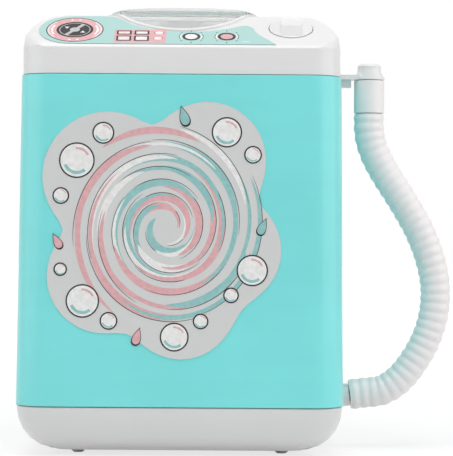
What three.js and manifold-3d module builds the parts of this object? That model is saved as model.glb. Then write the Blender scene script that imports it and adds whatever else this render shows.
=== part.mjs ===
// Toy washing machine: a drafted body between a bowl-shaped base and a cover with a
// sloping control panel. Under its clear lid a tub holds a pulsator, which a small motor
// turns through two gears, and the tub drains through a ribbed hose on the right side.
// Millimetres: X to the right, Y to the back, Z up, with the feet standing at z = 0.
import * as THREE from 'three';
import { mergeVertices } from 'three/addons/utils/BufferGeometryUtils.js';
import Module from 'manifold-3d';

const wasm = await Module();
wasm.setup();

// Shared values
const wall = 1.8; // moulded wall of the shells
const fitGap = 0.3; // gap between pieces that rest on or in each other
const boreGap = 0.2; // radial gap round shafts, pins and screws
const overrun = 1; // how far a cutting tool runs past a face
const roundSteps = 32; // sides of a large round
const fineSteps = 44; // sides of the round opening in the cover
const middleSteps = 16; // sides of a round between those two
const arcSteps = 3; // half the steps of a quarter round in a flat shape
const smallSteps = 12; // sides of a small round
const screwSteps = 8; // sides of a screw
const quarterTurn = 90;
const fullTurn = 360;

// Case
const caseBottomWidth = 126.4; // body at the seam above the base
const caseBottomDepth = 92.2;
const caseDraft = 2.8; // body is this much narrower and shallower under the cover
const caseTopWidth = caseBottomWidth - caseDraft;
const caseTopDepth = caseBottomDepth - caseDraft;
const caseCorner = 12.5; // radius of the upright edges
const baseSeam = 19.5; // height of the seam between base and body
const coverSeam = 146.5; // height of the seam between body and cover
const lipDepth = 3; // how far a lip reaches past a seam
const lipRoot = 5; // how far a lip reaches back into its own shell
const lipWall = 1.5;
const cornerSteps = 5;

// Base
const baseInset = 0.35; // base stands this far inside the body's outline
const footHeight = 1.5; // underside of the base above the surface
const bowlRadius = 17; // round between the base's sides and its underside
const bowlSteps = 6;
const bowlCornerShare = 0.35; // how fast the upright edges tighten down the bowl

// Feet
const footInX = 23.4; // feet inside the body's sides, and its front and back
const footInY = 24.1;
const footX = caseBottomWidth / 2 - footInX;
const footY = caseBottomDepth / 2 - footInY;
const footRadius = 2.6;
const footTread = 1.9; // flat radius that meets the surface
const footSeat = 0.8; // depth of the recess that a foot sits in

// Case screws, from below through the base
const caseScrewInX = 13.2; // screws inside the body's sides, and its front and back
const caseScrewInY = 16.1;
const caseScrewX = caseBottomWidth / 2 - caseScrewInX;
const caseScrewY = caseBottomDepth / 2 - caseScrewInY;
const caseScrewPost = 4.5; // radius of the post round the screw
const caseScrewWell = 3.4; // radius of the well for the head
const caseScrewHead = 2.9;
const caseScrewHeadHeight = 2;
const caseScrewShank = 1.3;
const caseScrewLength = 9;
const caseScrewSeat = 3; // plastic left under the head
const tabRise = 4.5; // body tabs begin this far above the base seam
const tabThickness = 3.5;
const tabReach = 4.5; // body's lower tabs begin this far inside their screws
const tabX = caseScrewX - tabReach;
const tabY = caseScrewY - tabReach;

// Cover screws, from below through the body's upper tabs
const coverScrewInX = 7.8; // screws inside the body's top edge
const coverScrewInY = 7.7;
const coverScrewX = caseTopWidth / 2 - coverScrewInX;
const coverScrewY = caseTopDepth / 2 - coverScrewInY;
const coverScrewHead = 2.6;
const coverScrewHeadHeight = 1.6;
const coverScrewShank = 1.2;
const coverScrewLength = 8;
const coverTabDrop = 3; // upper tabs end this far below the cover seam
const upperTabReach = 4; // upper tabs begin this far inside their screws
const upperTabX = coverScrewX - upperTabReach;
const upperTabY = coverScrewY - upperTabReach;
const coverPost = 3.5; // radius of the cover's posts

// Cover
const coverInset = 0.5; // cover stands this far inside the body's outline
const panelEdgeRise = 10.4; // edge between front face and panel above the seam
const panelEdge = coverSeam + panelEdgeRise;
const panelSlope = 30; // slope of the control panel in degrees
const coverRise = 24.7; // flat top behind the panel above the seam
const coverTop = coverSeam + coverRise;
const sideRound = 14; // round between the flat top and the sides
const backRound = 6; // round between the flat top and the back
const edgeRound = 1.8; // round at the panel's front edge
const breakRound = 3; // round where the panel meets the flat top
const panelRound = 3; // round between the panel and the cover's sides
const coverSteps = 3;

// Lid and its seat in the cover
const lidMargin = 13.6; // cover in front of the lid and behind it
const lidRadius = caseTopDepth / 2 - coverInset - lidMargin;
const lidGap = 0.5; // gap between the lid's rim and the bead round it
const beadWidth = 1.3; // raised bead round the lid
const beadHeight = 0.7;
const ledgeDepth = 1.6; // how deep the lid's seat lies under the panel
const ledgeWidth = 2; // ledge under the lid's rim
const ledgeInner = lidRadius - ledgeWidth; // radius of the opening into the tub
const ledgeWall = 1.6;
const lidSink = 0.1; // lid's flat lies this far under the panel
const lidPlate = 1.2; // thickness of the lid
const domeRise = 6; // crown of the lid above the flat top
const domeRootShare = 0.35; // steepness of the crown at its edge
const domeFrontShare = 0.55; // how much sooner the crown's straight front edge draws back
const domeTopShare = 0.9; // where the crown's highest ring lies on the way to its middle
const domePackShare = 1.5; // how much closer the rings lie near the crown's edge
const domeSteps = 6;
const domeSides = 22;

// Lid hinge
const knuckleRadius = 1.9;
const knuckleWidth = 15;
const hingeReach = 3.2; // hinge axis behind the lid's rim
const hingeBack = lidRadius + hingeReach;
const hingePinRadius = 0.9;
const earWidth = 3;
const armThickness = 1.6; // lid's hinge arm
const armReach = 5.2; // how far the arm lies over the crown

// Knob, on the sloping panel
const knobIn = 19.6; // knob's axis inside the cover's side
const knobX = caseTopWidth / 2 - knobIn;
const knobAlong = 17.2; // distance up the slope from the panel's edge
const knobRadius = 8.4;
const knobDisc = 1.4; // thickness of the knob's disc
const knobProud = 0.3; // top of the disc above the panel
const gripWidth = 7.7;
const gripRise = 2.9; // grip above the disc
const gripTop = 8; // length of the grip's top
const gripBottom = 15.4; // length of the grip where it meets the disc
const gripHollow = 0.8; // dip in the grip's top
const gripSink = 0.4; // how far the grip runs into the disc
const wellGap = 0.35; // gap round the knob in its well
const wellFloor = 1.8; // panel left under the well
const wellRim = 1.9; // wall round the well

// Rotary switch under the knob
const switchShaftRadius = 2.2;
const switchShaftGrip = 1.6; // how far the shaft reaches into the grip
const switchSize = 15;
const switchHeight = 8;
const switchEarReach = 13.2; // half length of the switch's mounting ears
const switchEarWidth = 6;
const switchEarHeight = 1.6;
const switchBossRadius = 2.6;
const switchScrewAt = 10.6; // screw centres either side of the shaft
const switchScrewHead = 1.9;
const switchScrewHeadHeight = 1.2;
const switchScrewShank = 0.9;
const switchScrewLength = 3.9;
const switchTabWidth = 2.4;
const switchTabHeight = 3.2;
const switchTabThickness = 0.5;
const switchTabAt = 4;
const rotorRadius = 4.5; // rotor disc inside the switch
const rotorHeight = 1.6;

// Printed labels
const labelThickness = 0.2;
const labelGap = 0.1;
const frontLabelWidth = 91;
const frontLabelFoot = 18.4; // label's lower edge above the base seam
const frontLabelHead = 10.6; // label's upper edge below the cover seam
const frontLabelHeight = coverSeam - baseSeam - frontLabelFoot - frontLabelHead;
const frontLabelX = -6.9;
const frontLabelZ = baseSeam + frontLabelFoot + frontLabelHeight / 2;
const frontLabelPoints = 80;
// Lobes of the front label as shares of half its height: x, z and radius.
const lobeShares = [
  [0.05, 0.02, 0.66],
  [-0.42, 0.42, 0.50],
  [0.36, 0.55, 0.45],
  [0.52, -0.16, 0.41],
  [0.16, -0.58, 0.42],
  [-0.44, -0.36, 0.44],
];
const lobeBlend = 9; // sharpness of the valleys between the lobes
const dialIn = 20.4; // printed dial's middle inside the cover's side
const dialX = dialIn - caseTopWidth / 2;
const dialEnd = 12.6; // radius of the label's round end
const dialAside = 1.4; // middle of the round end further out than the printed dial
const roundX = dialX - dialAside;
const panelLabelFront = 2; // label's front edge behind the panel's edge
const panelLabelShort = 6; // label's right end short of the knob's axis
const panelLabelRight = knobX - panelLabelShort;
// Right end and back edge of the panel label: x as a share of the label's right reach,
// and the place on the way from the label's front edge back to the lid's bead.
const panelLabelShares = [
  [1, 0], [0.91, 0.093], [0.83, 0.237], [0.78, 0.39], [0.76, 0.508], [0.67, 0.712],
  [0.5, 0.798], [0.28, 0.896], [0, 0.943], [-0.28, 0.914], [-0.5, 0.931], [-0.6, 0.936],
  [-0.68, 0.933], [-0.74, 0.882], [-0.85, 0.675], [-1, 0.514],
];

// Tub
const tubBottomShare = 0.3725; // tub's underside between base seam and cover's top
const tubBottom = baseSeam + (coverTop - baseSeam) * tubBottomShare;
const tubWall = 1.6;
const tubFloor = 1.8;
const tubGap = 0.2; // tub's mouth inside the ledge
const tubDraft = 2;
const tubTopRadius = ledgeInner - tubGap; // inside, at the top of the cover
const tubBottomRadius = tubTopRadius - tubDraft; // inside, at the floor
const tubBossRadius = 5;
const tubBossDrop = 3;
const hangerOut = 8.6; // tub screws outside the tub's mouth
const hangerReach = tubTopRadius + hangerOut;
const hangerAngles = [0, 120, 240];
const hangerRadius = 3.8;
const hangerRise = 5.5; // top of the tub's hanging ears above the cover seam
const hangerTop = coverSeam + hangerRise;
const hangerEar = 2.6;
const hangerStart = 0.9; // ears start this share of the way out to the tub wall
const nozzleShare = 0.78; // drain nozzle as a share of the floor's radius
const nozzleX = tubBottomRadius * nozzleShare;
const nozzleRadius = 2.8;
const nozzleBore = 1.7;
const nozzleLength = 8;

// Tub screws
const tubScrewHead = 2.5;
const tubScrewHeadHeight = 1.5;
const tubScrewShank = 1.1;
const tubScrewLength = 8;

// Pulsator, its shaft, bush and seal
const pulsatorGap = 4.4; // pulsator's rim inside the tub's floor
const pulsatorRadius = tubBottomRadius - pulsatorGap;
const pulsatorLift = 2.4; // gap between tub floor and pulsator
const pulsatorDisc = 2;
const pulsatorHub = 4.6;
const pulsatorHubHeight = 9;
const vaneHeight = 7.5;
const vaneWidth = 2.6;
const vaneCount = 3;
const vaneFrom = 3; // where the vanes start from the axis
const vaneTip = 1.5; // vanes end this far inside the disc's rim
const shaftRadius = 1.5;
const shaftGrip = 5; // how far the shaft reaches into the pulsator's hub
const bushRadius = 2.8;
const sealRadius = 3.9;
const sealHeight = 1.3;

// Gears
const modulesInTub = 33; // the gears' size: modules in the tub floor's radius
const toothModule = tubBottomRadius / modulesInTub;
const gearTeeth = 30;
const pinionTeeth = 10;
const pressureAngle = 20;
const gearBacklash = 0.2; // added to the centre distance
const gearCentres = (toothModule * (gearTeeth + pinionTeeth)) / 2 + gearBacklash;
const toothThinning = 0.14; // taken off each tooth at the pitch circle
const rootExtra = 0.25; // root depth past the module, as a share of the module
const gearWidth = 3.6;
const gearDrop = 0.5; // gear under the tub's boss
const pinionWidth = 4.4;
const gearHubRadius = 4;
const gearHubHeight = 0.2;

// Motor
const motorWidth = 20.1;
const motorFlat = 15.1;
const motorLength = 22;
const motorCorner = 6;
const motorCapLength = 3.2;
const motorBossRadius = 3;
const motorBossHeight = 1.4;
const motorShaftRadius = 1;
const motorScrewAt = 8; // motor screws either side of the shaft
const motorScrewHead = 1.7;
const motorScrewHeadHeight = 1.1;
const motorScrewShank = 0.8;
const motorScrewLength = 4.2;
const motorTabWidth = 2.2;
const motorTabHeight = 3;
const motorTabThickness = 0.5;
const motorTabAt = 4.5;
const motorBoreDepth = 8; // blind bore for the shaft's lower end

// Gear plate under the tub
const plateThickness = 2;
const plateCorner = 5;
const plateGap = 0.5; // gear above the plate
const platePostRadius = 3.2;
const plateScrewHead = 2.2;
const plateScrewHeadHeight = 1.4;
const plateScrewShank = 1;
const plateScrewLength = 7;
// Two screws beside the gear and the plate's edges, as shares of the tub floor's radius
const plateScrewShares = [[0.17, -0.777], [0.17, 0.777]];
const plateFrontShare = 0.947;
const plateRightShare = 0.379;
const plateScrewClear = 1.05; // third screw's head clear of the motor
const plateScrewX = -(gearCentres + motorFlat / 2 + plateScrewHead + plateScrewClear);
const plateScrews = [
  ...plateScrewShares.map((shares) => shares.map((share) => share * tubBottomRadius)),
  [plateScrewX, 0],
];
const plateEdge = 4; // plate past its third screw
const plateFront = tubBottomRadius * plateFrontShare; // half depth of the plate
const plateLeft = plateScrewX - plateEdge;
const plateRight = tubBottomRadius * plateRightShare;

// Battery bay and door in the base
const cellRadius = 7.1;
const cellLength = 49;
const cellNub = 1.3;
const cellNubRadius = 2.7;
const cellGap = 1; // between the two cells
const cellPitch = cellRadius * 2 + cellGap; // between the two cells' axes
const bayEnds = 6.7; // room for the contacts at the cells' ends
const bayGap = 1.6;
const bayRoof = 0.6; // room over the cells
const bayLength = cellLength + cellNub + bayEnds;
const bayDepth = cellPitch + cellRadius * 2 + bayGap;
const doorLap = 4.5; // door reaches past the bay's ends
const doorSideLap = 2.5; // and past its sides
const doorWidth = bayLength + doorLap * 2;
const doorDepth = bayDepth + doorSideLap * 2;
const doorThickness = 1.4;
const doorEarReach = 9; // screw ear of the door, behind its rear edge
const doorEarRadius = 3.8;
const doorScrewHead = 2.3;
const doorScrewHeadHeight = 1.1;
const doorScrewShank = 1;
const doorScrewLength = 7;
const contactWidth = 9;
const contactThickness = 0.4;
const contactBossRadius = 3;
const contactRise = 3; // contact tails above the bay
const contactTail = 2.4;

// Drain
const spoutTilt = 7; // spout points this many degrees upwards
const spoutOut = 4.1; // outer face of the spout's collar outside the body
const spoutRise = 1.8; // its middle above the base seam
const spoutFaceX = caseBottomWidth / 2 + spoutOut;
const spoutFaceZ = baseSeam + spoutRise;
const spoutCollar = 4.55;
const spoutCollarLength = 8.6;
const spoutFlange = 6.4;
const spoutFlangeWidth = 1.6;
const spoutTail = 6;
const spoutBore = 1.6;
const spoutNipple = 2.6;
const spoutNippleLength = 6;
const drainTubeRadius = 4.1;
const drainTubeBore = 3.1;
const drainTubeSteps = 14;
const drainTubeSides = 5; // sides of half its section
const drainTubeDrop = 30; // how gently the tube leaves the tub
const drainTubeLead = 14; // and how gently it meets the spout

// Drain hose, in x and z: the machine's height stretches its route
const hoseDiameter = 12.2;
const hoseGroove = 11.4; // diameter between two ribs
const hoseBore = 6.4;
const hoseRibs = 37;
const ribCrestShare = 0.5; // a rib's crest on the way to the next groove
const hoseSides = 8;
const ribsPerBoreRing = 5;
const hoseNeck = 8.8; // plain neck inside the cuff
const hoseNeckLength = 6.6;
// The route as it is drawn, from the middle of the spout's face
const hoseRoute = [
  [0.4, 0.05], [6.5, 0.8], [12.5, 1.54], [16.8, 3.6], [20.8, 6.8], [24.2, 10.8],
  [27.2, 15.2], [29.8, 19.8], [31.9, 24.6], [33.4, 29.5], [34.3, 34.3], [34.7, 39.2],
  [34.6, 44.0], [33.9, 48.8], [32.8, 53.6], [31.3, 58.4], [29.4, 63.2], [27.1, 68.1],
  [24.4, 72.9], [21.5, 77.7], [18.5, 82.4], [15.4, 87.1], [12.5, 92.0], [10.0, 97.0],
  [8.2, 102.3], [7.5, 107.6], [7.5, 113.0], [7.5, 119.6],
];
const [hoseEndOut, hoseEndRise] = hoseRoute.at(-1);

// Cuff and holder at the top of the hose
const cuffX = spoutFaceX + hoseEndOut;
const cuffHeight = 13;
const cuffReach = 6.3; // how far the hose reaches into the cuff
const cuffBore = 9.8;
const holderArmThickness = 1.9;
const holderArmWidth = 8.4;
const holderSlotGap = 1.4; // arm above the seam
const holderStopWidth = 12;
const holderStopThickness = 1.8;
const holderStopRise = 3.4;
const gussetReach = 5.3;
const gussetDrop = 3.1;
const gussetWidth = 3;
const flangeRadius = 6.15;
const flangeRise = 1.3; // cone above the arm's top
const stubRadius = 4.75;
const stubHeight = 3.2;
const stubRound = 0.9;
const pegRadius = 4.5;
const pegLength = 5.6;

// Wires
const wireRadius = 0.7;
const wireLead = 5; // straight stretch of a wire at its tab
const wireSteps = 14;
const wireSides = 3; // sides of half a wire

// Finishes
const finish = (color, roughness, metalness = 0, opacity = 1) =>
  new THREE.MeshStandardMaterial({
    color, roughness, metalness, opacity, transparent: opacity < 1,
  });
const whitePlastic = finish(0xe9e9e8, 0.38);
const aquaPlastic = finish(0x7edad9, 0.42);
const tubPlastic = finish(0x3fb8a8, 0.35);
const clearPlastic = finish(0xe6ecea, 0.12, 0, 0.35);
const paleLabel = finish(0xd2d4d3, 0.55);
const aquaLabel = finish(0xaed6d8, 0.5);
const hosePlastic = finish(0xe4e4e4, 0.5);
const greyPlastic = finish(0x8d9295, 0.5);
const darkPlastic = finish(0x2b2d30, 0.55);
const gearPlastic = finish(0xf0ece0, 0.45);
const steel = finish(0xb9bcc0, 0.3, 0.9);
const brass = finish(0xc8a45a, 0.35, 0.9);
const rubber = finish(0x3a3c3e, 0.85);
const footRubber = finish(0xdcdcda, 0.8);
const silicone = finish(0xe8e6dc, 0.6);
const cellWrap = finish(0x3d5a7a, 0.4);
const redWire = finish(0xb43a34, 0.55);
const blackWire = finish(0x26272a, 0.55);
const blueWire = finish(0x3a6ea8, 0.55);

// Geometry helpers: each gives a BufferGeometry that closes on itself.

// Places a geometry after turning it about X, then Y, then Z, in degrees.
function placed(geometry, x = 0, y = 0, z = 0, turnX = 0, turnY = 0, turnZ = 0) {
  geometry.rotateX(THREE.MathUtils.degToRad(turnX));
  geometry.rotateY(THREE.MathUtils.degToRad(turnY));
  geometry.rotateZ(THREE.MathUtils.degToRad(turnZ));
  return geometry.translate(x, y, z);
}

// A cone or cylinder that stands on z = 0.
function post(radius, height, topRadius = radius, steps = smallSteps) {
  return placed(
    new THREE.CylinderGeometry(topRadius, radius, height, steps), 0, 0, height / 2, quarterTurn);
}

// A box that stands on z = 0 over the origin.
function block(width, depth, height) {
  return new THREE.BoxGeometry(width, depth, height).translate(0, 0, height / 2);
}

// A plate of a shape, from z = 0 up.
function plate(shape, thickness, steps = arcSteps) {
  return new THREE.ExtrudeGeometry(
    shape, { depth: thickness, bevelEnabled: false, curveSegments: steps });
}

// A turned solid: pairs of radius and height, from the axis back to the axis, or closed.
function turned(profile, steps = roundSteps) {
  const points = profile.map(([radius, height]) => new THREE.Vector2(radius, height));
  return placed(new THREE.LatheGeometry(points, steps), 0, 0, 0, quarterTurn);
}

// Outline of a rectangle with round corners, seen from above, round its middle.
function roundedRectangle(width, depth, radius) {
  const shape = new THREE.Shape();
  const x = width / 2 - radius;
  const y = depth / 2 - radius;
  shape.absarc(x, -y, radius, -Math.PI / 2, 0);
  shape.absarc(x, y, radius, 0, Math.PI / 2);
  shape.absarc(-x, y, radius, Math.PI / 2, Math.PI);
  shape.absarc(-x, -y, radius, Math.PI, Math.PI * 1.5);
  return shape;
}

// A level of a lofted shell: its outline at one height. Where the front is drawn back, a
// smaller round joins it to what is left of each round front corner.
function level(halfWidth, front, back, radius, z, drawn = 0, small = radius) {
  const middle = halfWidth - radius;
  const reach = radius - small;
  const rest = reach - drawn;
  const turn = rest > 0 ? -Math.asin(rest / reach) : 0;
  const smallX = rest > 0 ? middle + Math.sqrt(reach ** 2 - rest ** 2) : halfWidth - small;
  const round = (x, y, size, angle) =>
    new THREE.Vector3(x + size * Math.cos(angle), y + size * Math.sin(angle), z);
  const ahead = (angle) => (angle > turn ? round(middle, front + radius - drawn, radius, angle)
    : round(smallX, front + small, small, angle));
  const corners = [
    (angle) => ahead(angle - Math.PI / 2),
    (angle) => round(middle, back - radius, radius, angle),
    (angle) => round(-middle, back - radius, radius, angle + Math.PI / 2),
    (angle) => ahead(-angle).multiply(new THREE.Vector3(-1, 1, 1)),
  ];
  return corners.flatMap((place) => Array.from({ length: cornerSteps + 1 },
    (_, step) => place((Math.PI / 2) * (step / cornerSteps))));
}

// A closed skin through rings of equal count, from the lowest ring to the highest.
function loft(rings) {
  const count = rings[0].length;
  const positions = rings.flat().flatMap((point) => [point.x, point.y, point.z]);
  const index = [];
  for (let row = 0; row + 1 < rings.length; row++) {
    for (let side = 0; side < count; side++) {
      const a = row * count + side;
      const b = row * count + ((side + 1) % count);
      index.push(a, b, b + count, a, b + count, a + count);
    }
  }
  const last = (rings.length - 1) * count;
  for (let side = 1; side + 1 < count; side++) {
    index.push(0, side + 1, side, last, last + side, last + side + 1);
  }
  const geometry = new THREE.BufferGeometry();
  geometry.setAttribute('position', new THREE.Float32BufferAttribute(positions, 3));
  geometry.setIndex(index);
  return geometry;
}

// Joins and cuts

// A manifold solid from a closed geometry.
function solid(geometry) {
  const bare = geometry.clone();
  bare.deleteAttribute('normal');
  bare.deleteAttribute('uv');
  const merged = mergeVertices(bare);
  return new wasm.Manifold(new wasm.Mesh({
    numProp: 3,
    vertProperties: new Float32Array(merged.attributes.position.array),
    triVerts: new Uint32Array(merged.index.array),
  }));
}

const asSolid = (shape) => (shape.isBufferGeometry ? solid(shape) : shape);
const join = (first, ...rest) =>
  rest.reduce((whole, next) => whole.add(asSolid(next)), asSolid(first));
const cut = (first, ...tools) =>
  tools.reduce((whole, tool) => whole.subtract(asSolid(tool)), asSolid(first));
const common = (first, second) => asSolid(first).intersect(asSolid(second));

// The geometry of a solid.
function geometryOf(shape) {
  if (shape.isBufferGeometry) return shape;
  const mesh = shape.getMesh();
  const geometry = new THREE.BufferGeometry();
  geometry.setAttribute(
    'position', new THREE.Float32BufferAttribute(mesh.vertProperties, 3));
  geometry.setIndex(Array.from(mesh.triVerts));
  return geometry;
}

// Adds a named piece to a group.
function piece(group, name, shape, material) {
  const mesh = new THREE.Mesh(geometryOf(shape), material);
  mesh.geometry.computeVertexNormals();
  mesh.name = name;
  group.add(mesh);
  return mesh;
}

// A screw that points up, with the underside of its head at z = 0.
function screw(headRadius, headHeight, shankRadius, length) {
  return turned([
    [0, -headHeight], [headRadius, -headHeight], [headRadius, 0], [shankRadius, 0],
    [shankRadius, length], [0, length],
  ], screwSteps);
}

// Adds one screw to a group for each place.
function screws(group, name, places, z, sizes) {
  places.forEach(([x, y], number) => {
    const mesh = piece(group, `${name}_${number + 1}`, screw(...sizes), steel);
    mesh.position.set(x, y, z);
  });
}

// A solid rod along a smooth path.
function rod(points, radius, steps, sides) {
  const section = new THREE.Shape().absarc(0, 0, radius, 0, Math.PI * 2);
  return new THREE.ExtrudeGeometry(section, {
    extrudePath: new THREE.CatmullRomCurve3(points), steps, curveSegments: sides,
  });
}

const machine = new THREE.Group();
const mirrored = (x, y) => [[-x, -y], [x, -y], [-x, y], [x, y]];

// Case: sizes of the body at a height, as half width and half depth
function caseHalf(z) {
  const share = (z - baseSeam) / (coverSeam - baseSeam);
  return [
    THREE.MathUtils.lerp(caseBottomWidth, caseTopWidth, share) / 2,
    THREE.MathUtils.lerp(caseBottomDepth, caseTopDepth, share) / 2,
  ];
}

// The body's form between two heights, drawn in from its outline by an inset.
function caseForm(inset, low, high) {
  return loft([low, high].map((z) => {
    const [halfWidth, halfDepth] = caseHalf(z);
    return level(
      halfWidth - inset, inset - halfDepth, halfDepth - inset, caseCorner - inset, z);
  }));
}

const bodyLow = baseSeam + fitGap / 2;
const bodyHigh = coverSeam - fitGap / 2;
const lowerTab = baseSeam + tabRise;
const upperTab = coverSeam - coverTabDrop - fitGap;
const bodyTabs = (fromX, fromY, z) => {
  const [halfWidth, halfDepth] = caseHalf(z);
  const width = halfWidth - fromX;
  const depth = halfDepth - fromY;
  return mirrored(fromX + width / 2, fromY + depth / 2).map(([x, y]) =>
    common(block(width, depth, tabThickness).translate(x, y, z),
      caseForm(wall / 2, bodyLow, bodyHigh)));
};

// Spout frame: x runs out along the spout from the face of its collar
const spoutFrame = new THREE.Group();
spoutFrame.position.set(spoutFaceX, 0, spoutFaceZ);
spoutFrame.rotation.y = -THREE.MathUtils.degToRad(spoutTilt);
spoutFrame.updateMatrix();

// A rod along the spout's axis between two distances from the collar's face.
function alongSpout(radius, from, to, steps = smallSteps * 2) {
  return placed(post(radius, to - from, radius, steps), from, 0, 0, 0, quarterTurn)
    .applyMatrix4(spoutFrame.matrix);
}
const spoutHole = alongSpout(
  spoutCollar + fitGap, -spoutCollarLength - spoutTail, 0);

// Holder frame: heights of the arm that carries the cuff
const armBottom = coverSeam + holderSlotGap;
const armTop = armBottom + holderArmThickness;
const cuffBottom = armBottom - fitGap - cuffHeight;

// Body
const [topHalfWidth] = caseHalf(coverSeam);
const bodyShell = cut(
  join(
    cut(caseForm(0, bodyLow, bodyHigh),
      caseForm(wall, bodyLow - overrun, bodyHigh + overrun)),
    ...bodyTabs(tabX, tabY, lowerTab),
    ...bodyTabs(upperTabX, upperTabY, upperTab - tabThickness)),
  ...mirrored(caseScrewX, caseScrewY).map(([x, y]) =>
    post(caseScrewShank + boreGap, tabThickness + overrun * 2)
      .translate(x, y, lowerTab - overrun)),
  ...mirrored(coverScrewX, coverScrewY).map(([x, y]) =>
    post(coverScrewShank + boreGap, tabThickness + overrun * 2)
      .translate(x, y, upperTab - tabThickness - overrun)),
  spoutHole);
piece(machine, 'body_shell', bodyShell, aquaPlastic);

// Base: the bowl's form, drawn in by an inset and carried up to a height
function bowlForm(inset, high) {
  const [caseWidth, caseDepth] = caseHalf(baseSeam);
  const halfWidth = caseWidth - baseInset - inset;
  const halfDepth = caseDepth - baseInset - inset;
  const radius = bowlRadius - inset;
  const low = footHeight + inset;
  const rings = Array.from({ length: bowlSteps + 1 }, (_, step) => {
    const angle = (Math.PI / 2) * (1 - step / bowlSteps);
    const drawn = radius * (1 - Math.cos(angle));
    const corner = caseCorner - inset - drawn * bowlCornerShare;
    const z = low + radius * (1 - Math.sin(angle));
    return level(halfWidth - drawn, drawn - halfDepth, halfDepth - drawn, corner, z);
  });
  rings.push(level(halfWidth, -halfDepth, halfDepth, caseCorner - inset, high));
  return loft(rings);
}

const baseHigh = baseSeam - fitGap / 2;
const screwPostTop = lowerTab - fitGap;
const screwSeat = screwPostTop - caseScrewSeat;
const doorTop = footHeight + doorThickness;
const ledgeLow = doorTop + fitGap;
const bayLow = ledgeLow + wall;
const cellZ = doorTop + fitGap + cellRadius;
const bayTop = cellZ + cellRadius + bayRoof;
const doorEarY = doorDepth / 2 + doorEarReach - doorEarRadius;
const bayOuterLength = bayLength + wall * 2;
const bayOuterDepth = bayDepth + wall * 2;

const baseLip = cut(
  caseForm(wall + fitGap, baseSeam - lipRoot, baseSeam + lipDepth),
  caseForm(wall + fitGap + lipWall, baseSeam - lipRoot - overrun,
    baseSeam + lipDepth + overrun));
const doorOpening = (gap, low, high) => [
  block(doorWidth + gap * 2, doorDepth + gap * 2, high - low).translate(0, 0, low),
  post(doorEarRadius + gap, high - low, doorEarRadius + gap).translate(0, doorEarY, low),
  block(doorEarRadius * 2 + gap * 2, doorEarY, high - low).translate(0, doorEarY / 2, low),
];
const baseHousing = cut(
  join(
    cut(bowlForm(0, baseHigh), bowlForm(wall, baseHigh + overrun)),
    common(baseLip, bowlForm(0, screwPostTop)),
    ...mirrored(caseScrewX, caseScrewY).map(([x, y]) => common(
      post(caseScrewPost, screwPostTop - footHeight).translate(x, y, footHeight),
      bowlForm(0, screwPostTop))),
    block(doorWidth + wall * 2, doorDepth + wall * 2, bayLow - footHeight)
      .translate(0, 0, footHeight),
    post(doorEarRadius + wall, bayLow + doorScrewLength - footHeight)
      .translate(0, doorEarY, footHeight),
    block(bayOuterLength, bayOuterDepth, bayTop + wall - footHeight)
      .translate(0, 0, footHeight)),
  ...doorOpening(fitGap, footHeight - overrun, ledgeLow),
  block(bayLength, bayDepth, bayTop).translate(0, 0, 0),
  post(doorScrewShank + boreGap, doorScrewLength + ledgeLow)
    .translate(0, doorEarY, footHeight),
  ...[-1, 1].map((side) =>
    block(contactThickness + fitGap * 2, contactTail + fitGap * 2, bayTop + wall + overrun)
      .translate(bayLength / 2 - contactThickness / 2 - fitGap, side * (cellPitch / 2), 0)),
  ...mirrored(caseScrewX, caseScrewY).flatMap(([x, y]) => [
    post(caseScrewWell, screwSeat).translate(x, y, 0),
    post(caseScrewShank + boreGap, screwPostTop + overrun).translate(x, y, 0),
  ]),
  ...mirrored(footX, footY).map(([x, y]) =>
    post(footRadius + fitGap, footHeight + footSeat, footRadius + fitGap, middleSteps)
      .translate(x, y, 0)),
  spoutHole);
piece(machine, 'base_housing', baseHousing, whitePlastic);

// Feet
mirrored(footX, footY).forEach(([x, y], number) => {
  const footTop = footHeight + footSeat - fitGap;
  const foot = piece(machine, `foot_${number + 1}`, turned([
    [0, 0], [footTread, 0], [footRadius, footHeight - footSeat], [footRadius, footTop],
    [0, footTop],
  ], middleSteps), footRubber);
  foot.position.set(x, y, 0);
});
screws(machine, 'case_screw', mirrored(caseScrewX, caseScrewY), screwSeat - fitGap,
  [caseScrewHead, caseScrewHeadHeight, caseScrewShank, caseScrewLength]);

// Battery door and its screw
piece(machine, 'battery_door', cut(
  join(...doorOpening(0, footHeight, doorTop)),
  post(doorScrewShank + boreGap, doorTop + overrun).translate(0, doorEarY, 0)),
whitePlastic);
screws(machine, 'door_screw', [[0, doorEarY]], footHeight - labelGap,
  [doorScrewHead, doorScrewHeadHeight, doorScrewShank, doorScrewLength]);

// Cells: the front one points right and the back one left
const cellProfile = [
  [0, -cellLength / 2], [cellRadius, -cellLength / 2], [cellRadius, cellLength / 2],
  [cellNubRadius, cellLength / 2], [cellNubRadius, cellLength / 2 + cellNub],
  [0, cellLength / 2 + cellNub],
];
[-1, 1].forEach((side, number) => {
  const cell = piece(machine, `battery_${number + 1}`,
    placed(turned(cellProfile, middleSteps), 0, 0, 0, 0, -side * quarterTurn), cellWrap);
  cell.position.set(side * (cellNub / 2), side * (cellPitch / 2), cellZ);
});

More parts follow.
